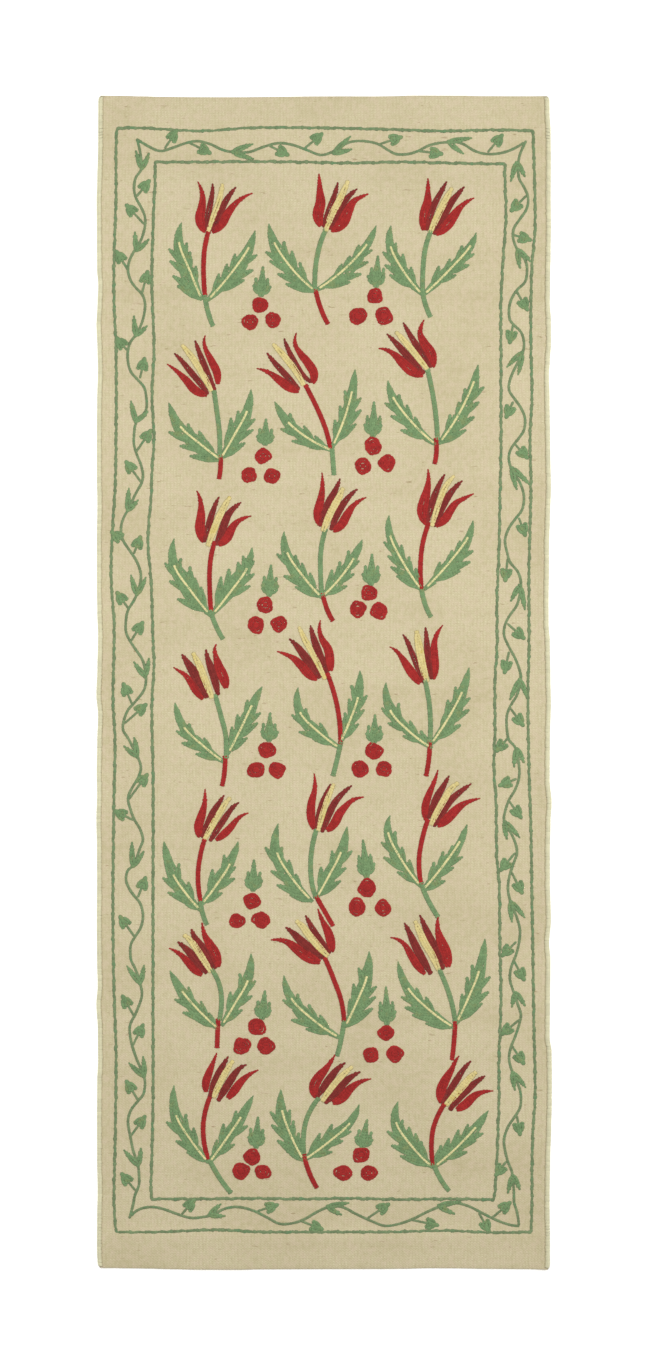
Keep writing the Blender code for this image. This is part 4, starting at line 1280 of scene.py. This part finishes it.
def wrap_shape(steps, ring=6):
    """Return a bmesh tube along X, of unit length, with its two ends closed."""
    shape = bmesh.new()
    bmesh.ops.create_circle(shape, segments=ring, radius=0.5, cap_ends=True)
    bmesh.ops.rotate(shape, verts=shape.verts, cent=(0, 0, 0),
                     matrix=Vector((0, 0, 1)).rotation_difference(Vector((1, 0, 0))).to_matrix())
    faces = list(shape.faces)
    for _ in range(steps - 1):
        grown = bmesh.ops.extrude_face_region(shape, geom=faces)
        faces = [g for g in grown["geom"] if isinstance(g, bmesh.types.BMFace)]
        moved = [g for g in grown["geom"] if isinstance(g, bmesh.types.BMVert)]
        bmesh.ops.translate(shape, verts=moved, vec=(1.0 / (steps - 1), 0.0, 0.0))
    bmesh.ops.recalc_face_normals(shape, faces=shape.faces)
    return shape


def build_whipping(name, table, sign, node_name, material, settings, rng):
    """Wrap the yarn of one whipped side around the edge of the cloth, turn by turn."""
    steps = 12
    shape = wrap_shape(steps)
    shape.verts.index_update()
    points = np.array([v.co[:] for v in shape.verts])
    faces = [[v.index for v in f.verts] for f in shape.faces]
    shape.free()
    row_of = np.round(points[:, 0] * (steps - 1)).astype(int)
    pitch = settings.whip_pitch
    start, stop = BOTTOM_Y + OVERCAST_END + pitch / 2.0, TOP_Y - OVERCAST_END - pitch / 2.0
    count = int((stop - start) / pitch)
    ys = np.linspace(start, stop, count) + rng.uniform(-0.0003, 0.0003, count)
    parts = []
    for y in ys:
        height = float(np.interp(y, FACE[:, 0], FACE[:, 1]))
        top = OVERCAST_THICKNESS + OVERCAST_CLEARANCE + height + CLOTH_THICKNESS
        line = np.array(overcast_section(top))
        run = np.concatenate([[0.0], np.cumsum(np.linalg.norm(np.diff(line, axis=0), axis=1))])
        even = np.linspace(0.0, run[-1], steps)
        inward, z = (np.interp(even, run, line[:, i]) for i in (0, 1))
        reach = rng.uniform(-0.0005, 0.0003)
        inward = inward + np.clip((inward - 0.004) / 0.0038, 0.0, 1.0) * reach
        tangent = np.gradient(np.stack([inward, z], axis=1), axis=0)
        tangent /= np.linalg.norm(tangent, axis=1)[:, None]
        slant = rng.uniform(0.6, 1.1) * 0.0022
        drift = (even / run[-1] - 0.5) * slant
        wide = pitch * rng.uniform(1.34, 1.50) / 2.0 * np.array([0.8] + [1.0] * (steps - 2) + [0.8])
        thick = OVERCAST_THICKNESS * np.array([0.6] + [1.0] * (steps - 2) + [0.6]) * 0.5
        local_y, local_n = points[:, 1] * 2.0, points[:, 2] * 2.0
        at_y = y + drift[row_of] + local_y * wide[row_of]
        push = local_n * thick[row_of]
        at_in = inward[row_of] + push * -tangent[row_of, 1]
        at_z = z[row_of] + push * tangent[row_of, 0]
        side = np.array([side_x(table, v) for v in at_y])
        at_x = side - sign * at_in
        at_y = np.array([follow_ends(a, b) for a, b in zip(at_x, at_y)])
        parts.append(np.stack([at_x, at_y, at_z], axis=1))
    size = len(points)
    places = np.concatenate(parts)
    every = [[first + i for i in (face if sign < 0 else face[::-1])]
             for first in range(0, len(places), size) for face in faces]
    mesh = bpy.data.meshes.new(name)
    mesh.from_pydata(places, [], every)
    index = np.empty(len(mesh.loops), int)
    mesh.loops.foreach_get("vertex_index", index)
    local = points[index % size]
    uv = np.stack([local[:, 1] * 2.0, local[:, 0] * 4.0], axis=1)
    mesh.uv_layers.new(name="yarn").data.foreach_set("uv", uv.ravel().astype(np.float32))
    shade = mesh.attributes.new("shade", "FLOAT", "POINT")
    values = np.repeat(rng.uniform(0.0, 1.0, len(ys)), size)
    shade.data.foreach_set("value", values.astype(np.float32))
    piece = add_piece(name, mesh, material)
    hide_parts(node_name)
    return piece


class RugSettings(bpy.types.PropertyGroup):
    """Sizes and colours of the rug that a user may change."""

    relief: bpy.props.FloatProperty(
        name="Stitch relief", description="Height of the chain stitches over the cloth",
        default=0.0013, min=0.0004, max=0.002, precision=4, subtype="DISTANCE", unit="LENGTH")
    whip_pitch: bpy.props.FloatProperty(
        name="Whipping pitch", description="Distance from one turn of the whipping to the next",
        default=0.0048, min=0.003, max=0.01, precision=4, subtype="DISTANCE", unit="LENGTH")
    cloth: bpy.props.StringProperty(
        name="Cloth", description="Colour of the cream cloth, as an sRGB hex value", default="#DBD1AC")
    whipping: bpy.props.StringProperty(
        name="Whipping", description="Colour of the whipped sides, as an sRGB hex value",
        default="#E0DBB7")
    red: bpy.props.StringProperty(
        name="Red", description="Colour of the outer petals and the berries, as an sRGB hex value",
        default="#A92B28")
    maroon: bpy.props.StringProperty(
        name="Maroon", description="Colour of the inner petals, as an sRGB hex value",
        default="#88302B")
    yellow: bpy.props.StringProperty(
        name="Yellow", description="Colour of the stripe in each flower, as an sRGB hex value",
        default="#E0CF90")
    green: bpy.props.StringProperty(
        name="Green", description="Colour of the leaves and the green stems, as an sRGB hex value",
        default="#7C9A6B")
    vine: bpy.props.StringProperty(
        name="Vine", description="Colour of the vine and the frames, as an sRGB hex value",
        default="#7D9068")

    def cream(self):
        """Return the colours of the cloth: base, light, dark, hairs and the warmer clouds."""
        return self.cloth, "#E2D9B6", "#BCAF87", "#8F734D", "#DAC8AC"


def rug():
    """Return the rug's settings."""
    return bpy.context.scene.suzani_rug


PATTERN = {}


def pattern():
    """Return the stitches of the pattern, worked out once."""
    if not PATTERN:
        PATTERN.update(all_stitches())
    return PATTERN


def darker(colour, share):
    """Return an sRGB hex colour with its channels scaled down."""
    return "#" + "".join(f"{int(int(colour[i:i + 2], 16) * share):02X}" for i in (1, 3, 5))


class RUG_OT_ground(bpy.types.Operator):
    """Weave the cream ground cloth with its hems"""

    bl_idname = "rug.ground"
    bl_label = "Ground cloth"

    def execute(self, context):
        build_ground(rug())
        return {"FINISHED"}


class RUG_OT_whipping(bpy.types.Operator):
    """Whip the two long sides with paler yarn"""

    bl_idname = "rug.whipping"
    bl_label = "Whipped sides"

    def execute(self, context):
        colour = rug().whipping
        # The ends colour is painted shade where the wraps end on the face of the cloth.
        material = stitched_wool("whipped_pale_wool", colour, darker(colour, 0.93), 0.08, ends="#CDC098")
        rng = np.random.default_rng(11)
        build_whipping("whipping_left", LEFT_SIDE, -1, "overcast_left", material, rug(), rng)
        build_whipping("whipping_right", RIGHT_SIDE, 1, "overcast_right", material, rug(), rng)
        return {"FINISHED"}


class RUG_OT_border(bpy.types.Operator):
    """Sew the two green frames and the vine between them"""

    bl_idname = "rug.border"
    bl_label = "Frames and vine"

    def execute(self, context):
        made, settings = pattern(), rug()
        dull = stitched_wool("dull_green_wool", settings.vine, darker(settings.vine, 0.78), 0.16, "#6C9468")
        sew("border_frames", [made["frames"]], {"line"}, dull, 0.8 * settings.relief)
        sew("border_vine", [made["vine"]], {"vine"}, dull, 0.8 * settings.relief)
        green = stitched_wool("leaf_green_wool", settings.green, darker(settings.green, 0.74),
                              0.14, "#8B9A66")
        sew("border_leaves", [made["vine"]], {"green"}, green, settings.relief)
        return {"FINISHED"}


class RUG_OT_leaves(bpy.types.Operator):
    """Sew the green leaves with their pale veins, and the green stems"""

    bl_idname = "rug.leaves"
    bl_label = "Leaves and green stems"

    def execute(self, context):
        made, settings = pattern(), rug()
        green = bpy.data.materials["leaf_green_wool"]
        stitches, yarns = made["leaves"]
        upper = stitches[:, 1] < 680.0
        for name, part in (("flower_leaves_upper", upper), ("flower_leaves_lower", ~upper)):
            kept = [y for y, k in zip(yarns, part) if k]
            sew(name, [(stitches[part], kept)], {"green"}, green, settings.relief)
        sew("green_stems", [made["stems"]], {"green"}, green, settings.relief)
        pale = stitched_wool("pale_yellow_wool", "#E6DCA2", "#D2BE7C", 0.08)
        sew("leaf_veins", [made["veins"]], {"vein"}, pale, 0.8 * settings.relief)
        return {"FINISHED"}


class RUG_OT_flowers(bpy.types.Operator):
    """Sew the red and maroon petals with their yellow stripes, and the red stems"""

    bl_idname = "rug.flowers"
    bl_label = "Flowers and red stems"

    def execute(self, context):
        made, settings = pattern(), rug()
        red = stitched_wool("madder_red_wool", settings.red, darker(settings.red, 0.72))
        maroon = stitched_wool("maroon_wool", settings.maroon, darker(settings.maroon, 0.72))
        yellow = stitched_wool("straw_yellow_wool", settings.yellow, "#D2BD7A", 0.08, "#DAC673")
        sew("red_petals", [made["petals"]], {"red"}, red, settings.relief)
        sew("maroon_petals", [made["petals"]], {"maroon"}, maroon, settings.relief)
        sew("yellow_stripes", [made["petals"]], {"yellow"}, yellow, settings.relief)
        sew("red_stems", [made["stems"]], {"red"}, red, settings.relief)
        sew("red_berries", [made["berries"]], {"red"}, red, settings.relief)
        return {"FINISHED"}


class RUG_OT_stage(bpy.types.Operator):
    """Set the white floor, the soft lights and the camera straight above"""

    bl_idname = "rug.stage"
    bl_label = "Studio"

    def execute(self, context):
        scene = context.scene
        shape = bmesh.new()
        bmesh.ops.create_grid(shape, x_segments=8, y_segments=8, size=6.0)
        bmesh.ops.translate(shape, verts=shape.verts, vec=(0.0, 0.0, -0.0002))
        mesh = from_bmesh("studio_floor", shape)
        mesh.materials.append(studio_paper("white_background_paper"))
        floor = bpy.data.objects.new("studio_floor", mesh)
        scene.collection.objects.link(floor)

        world = bpy.data.worlds.new("studio")
        world.use_nodes = True
        world.node_tree.nodes["Background"].inputs[0].default_value = (1.0, 1.0, 1.0, 1.0)
        world.node_tree.nodes["Background"].inputs[1].default_value = 0.375
        scene.world = world
        # Softboxes: place, size and power in watts.
        boxes = (("softbox_left", (-1.45, 0.40, 2.66), 1.6, 41.5),
                 ("softbox_right", (2.28, 0.60, 2.37), 1.6, 53.0))
        for name, place, size, power in boxes:
            data = bpy.data.lights.new(name, "AREA")
            data.shape = "SQUARE"
            data.size = size
            data.energy = power
            light = bpy.data.objects.new(name, data)
            light.location = place
            light.rotation_euler = (-Vector(place)).to_track_quat("-Z", "Y").to_euler()
            scene.collection.objects.link(light)

        data = bpy.data.cameras.new("camera")
        data.lens = 100.0
        data.sensor_width = 36.0
        data.clip_end = 50.0
        camera = bpy.data.objects.new("camera", data)
        photo_size, photo_centre = (648, 1366), (324.0, 683.0)
        distance = data.lens / data.sensor_width * photo_size[1] * UNIT
        camera.location = ((photo_centre[0] - CHART_CENTRE[0]) * UNIT,
                           (CHART_CENTRE[1] - photo_centre[1]) * UNIT, distance + 0.003)
        scene.collection.objects.link(camera)
        scene.camera = camera
        scene.view_settings.view_transform = "Standard"
        return {"FINISHED"}


STEPS = (RUG_OT_stage, RUG_OT_ground, RUG_OT_whipping, RUG_OT_border, RUG_OT_leaves, RUG_OT_flowers)


class RUG_PT_panel(bpy.types.Panel):
    """Lists the rug's settings and the steps that build it"""

    bl_idname = "RUG_PT_panel"
    bl_label = "Suzani kilim rug"
    bl_space_type = "VIEW_3D"
    bl_region_type = "UI"
    bl_category = "Rug"

    def draw(self, context):
        for name in RugSettings.__annotations__:
            self.layout.prop(context.scene.suzani_rug, name)
        for step in STEPS:
            self.layout.operator(step.bl_idname)


CLASSES = (RugSettings, *STEPS, RUG_PT_panel)


def register():
    """Register the settings, the steps and the panel."""
    for item in CLASSES:
        bpy.utils.register_class(item)
    bpy.types.Scene.suzani_rug = bpy.props.PointerProperty(type=RugSettings)


def unregister():
    """Take them away again."""
    del bpy.types.Scene.suzani_rug
    for item in reversed(CLASSES):
        bpy.utils.unregister_class(item)


def main():
    """Build the rug and its studio."""
    register()
    for step in STEPS:
        group, name = step.bl_idname.split(".")
        getattr(getattr(bpy.ops, group), name)()


if __name__ == "__main__":
    main()
